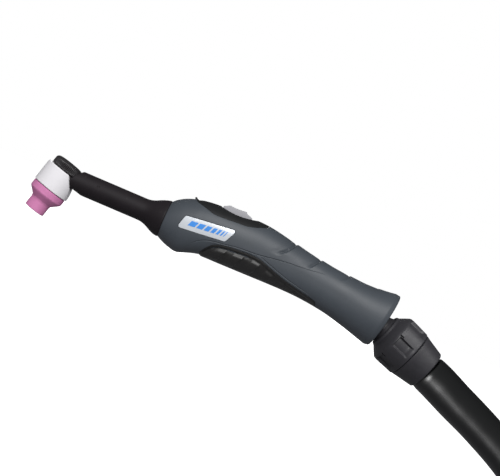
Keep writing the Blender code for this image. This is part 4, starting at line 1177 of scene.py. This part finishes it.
# ================================================================ floor
scene = bpy.context.scene
scene.view_settings.view_transform = "Standard"
scene.view_settings.look = "None"
scene.view_settings.exposure = 0.0

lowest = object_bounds()[0].z
floor_mesh = bpy.data.meshes.new("floor")
edit = bmesh.new()
bmesh.ops.create_grid(edit, x_segments=1, y_segments=1, size=6.0)
edit.to_mesh(floor_mesh)
edit.free()
floor = link_object("floor", floor_mesh)
floor.location = (0.2, 0.0, lowest - 0.001)


def floor_paper():
    """Nearly white to the camera, but a dull grey to the light that bounces off it."""
    paper = bpy.data.materials.new("pale_floor")
    paper.use_nodes = True
    tree = paper.node_tree
    tree.nodes.clear()
    out = node(tree, "OutputMaterial")
    ray = node(tree, "LightPath")
    bounce = node(tree, "BsdfDiffuse", {"Color": (0.25, 0.25, 0.26, 1)})
    seen = node(tree, "BsdfDiffuse", {"Color": (0.30, 0.30, 0.30, 1)})
    glow = node(tree, "Emission", {"Color": (1, 1, 1, 1), "Strength": 0.985})
    both = node(tree, "AddShader", {0: seen.outputs[0], 1: glow.outputs[0]})
    choose = node(tree, "MixShader", {0: ray.outputs["Is Camera Ray"], 1: bounce.outputs[0],
                                      2: both.outputs[0]})
    feed(tree, out, {"Surface": choose.outputs[0]})
    return paper


floor.data.materials.append(floor_paper())


# ================================================================ world
def studio_world():
    """White to the camera; to all else a soft glow, brightest up and towards the camera."""
    world = bpy.data.worlds.new("studio")
    world.use_nodes = True
    scene.world = world
    tree = world.node_tree
    tree.nodes.clear()
    out = node(tree, "OutputWorld")
    ray = node(tree, "LightPath")
    white = node(tree, "Background", {"Color": (1, 1, 1, 1), "Strength": 1.0})
    dim = node(tree, "Background", {"Color": (0.95, 0.98, 1.0, 1)})
    where = node(tree, "TexCoord")
    bright_side = (-0.25, -0.78, 0.57)
    height = node(tree, "VectorMath", {0: where.outputs["Generated"], 1: bright_side},
                  operation="DOT_PRODUCT")
    rise = node(tree, "MapRange", {"From Min": -0.35, "From Max": 1.0, "To Min": 0.08,
                                   "To Max": 0.46, "Value": height.outputs["Value"]},
                interpolation_type="SMOOTHSTEP")
    feed(tree, dim, {"Strength": rise.outputs["Result"]})
    choose = node(tree, "MixShader", {0: ray.outputs["Is Camera Ray"], 1: dim.outputs[0],
                                      2: white.outputs[0]})
    feed(tree, out, {"Surface": choose.outputs[0]})


studio_world()

# ================================================================ lights
middle = place(150, 0, 0)
# the camera looks along +Y, rolled so that the torch lies slanted in the view
roll = math.radians(23.7)
right = Vector((math.cos(roll), 0, math.sin(roll)))
upward = Vector((-math.sin(roll), 0, math.cos(roll)))
nearer = Vector((0, -1, 0))


def softbox(name, offset, size, power, glossy=True):
    """An area light offset right, up and towards the camera (metres), aimed at the torch."""
    light = bpy.data.lights.new(name, "AREA")
    light.shape = "RECTANGLE"
    light.size, light.size_y = size
    light.energy = power
    obj = link_object(name, light)
    away = right * offset[0] + upward * offset[1] + nearer * offset[2]
    obj.location = middle + away
    obj.rotation_mode = "QUATERNION"
    obj.rotation_quaternion = (-away).to_track_quat("-Z", "Y")
    obj.visible_glossy = glossy
    return obj


def receivers(light, name, *objects):
    """Link a light to a named collection of objects."""
    group = bpy.data.collections.new(name)
    for obj in objects:
        group.objects.link(obj)
    light.light_linking.receiver_collection = group
    return group


key = softbox("key", offset=(0.55, 1.05, 1.95), size=(1.2, 1.2), power=52)
# a reflection for the sheath alone
sheen = softbox("sheen", offset=(-0.42, -0.34, 1.6), size=(0.42, 0.9), power=35)
sheen.visible_diffuse = False
sheen.data.use_shadow = False
sheen.data.cycles.use_multiple_importance_sampling = False
receivers(sheen, "lit_by_sheen", sheath)
rim = softbox("rim", offset=(1.5, 0.9, 0.9), size=(0.7, 0.7), power=17)
receivers(rim, "lit_by_rim", nut, collar)
# the key lights everything but the sheath
others = receivers(key, "lit_by_key", sheath)
others.collection_objects[0].light_linking.link_state = "EXCLUDE"
softbox("back", offset=(0.0, 0.9, -2.2), size=(1.6, 1.4), power=60, glossy=False)

# ================================================================ camera
cam_data = bpy.data.cameras.new("camera")
cam_data.sensor_width = 36.0
cam_data.lens = 88.7688
cam_data.clip_start, cam_data.clip_end = 0.01, 50.0
cam = link_object("camera", cam_data)
scene.camera = cam
pose = Matrix((right, upward, nearer)).transposed().to_4x4()
pose.translation = place(143.939, -900.0, 12.082)
cam.matrix_world = pose
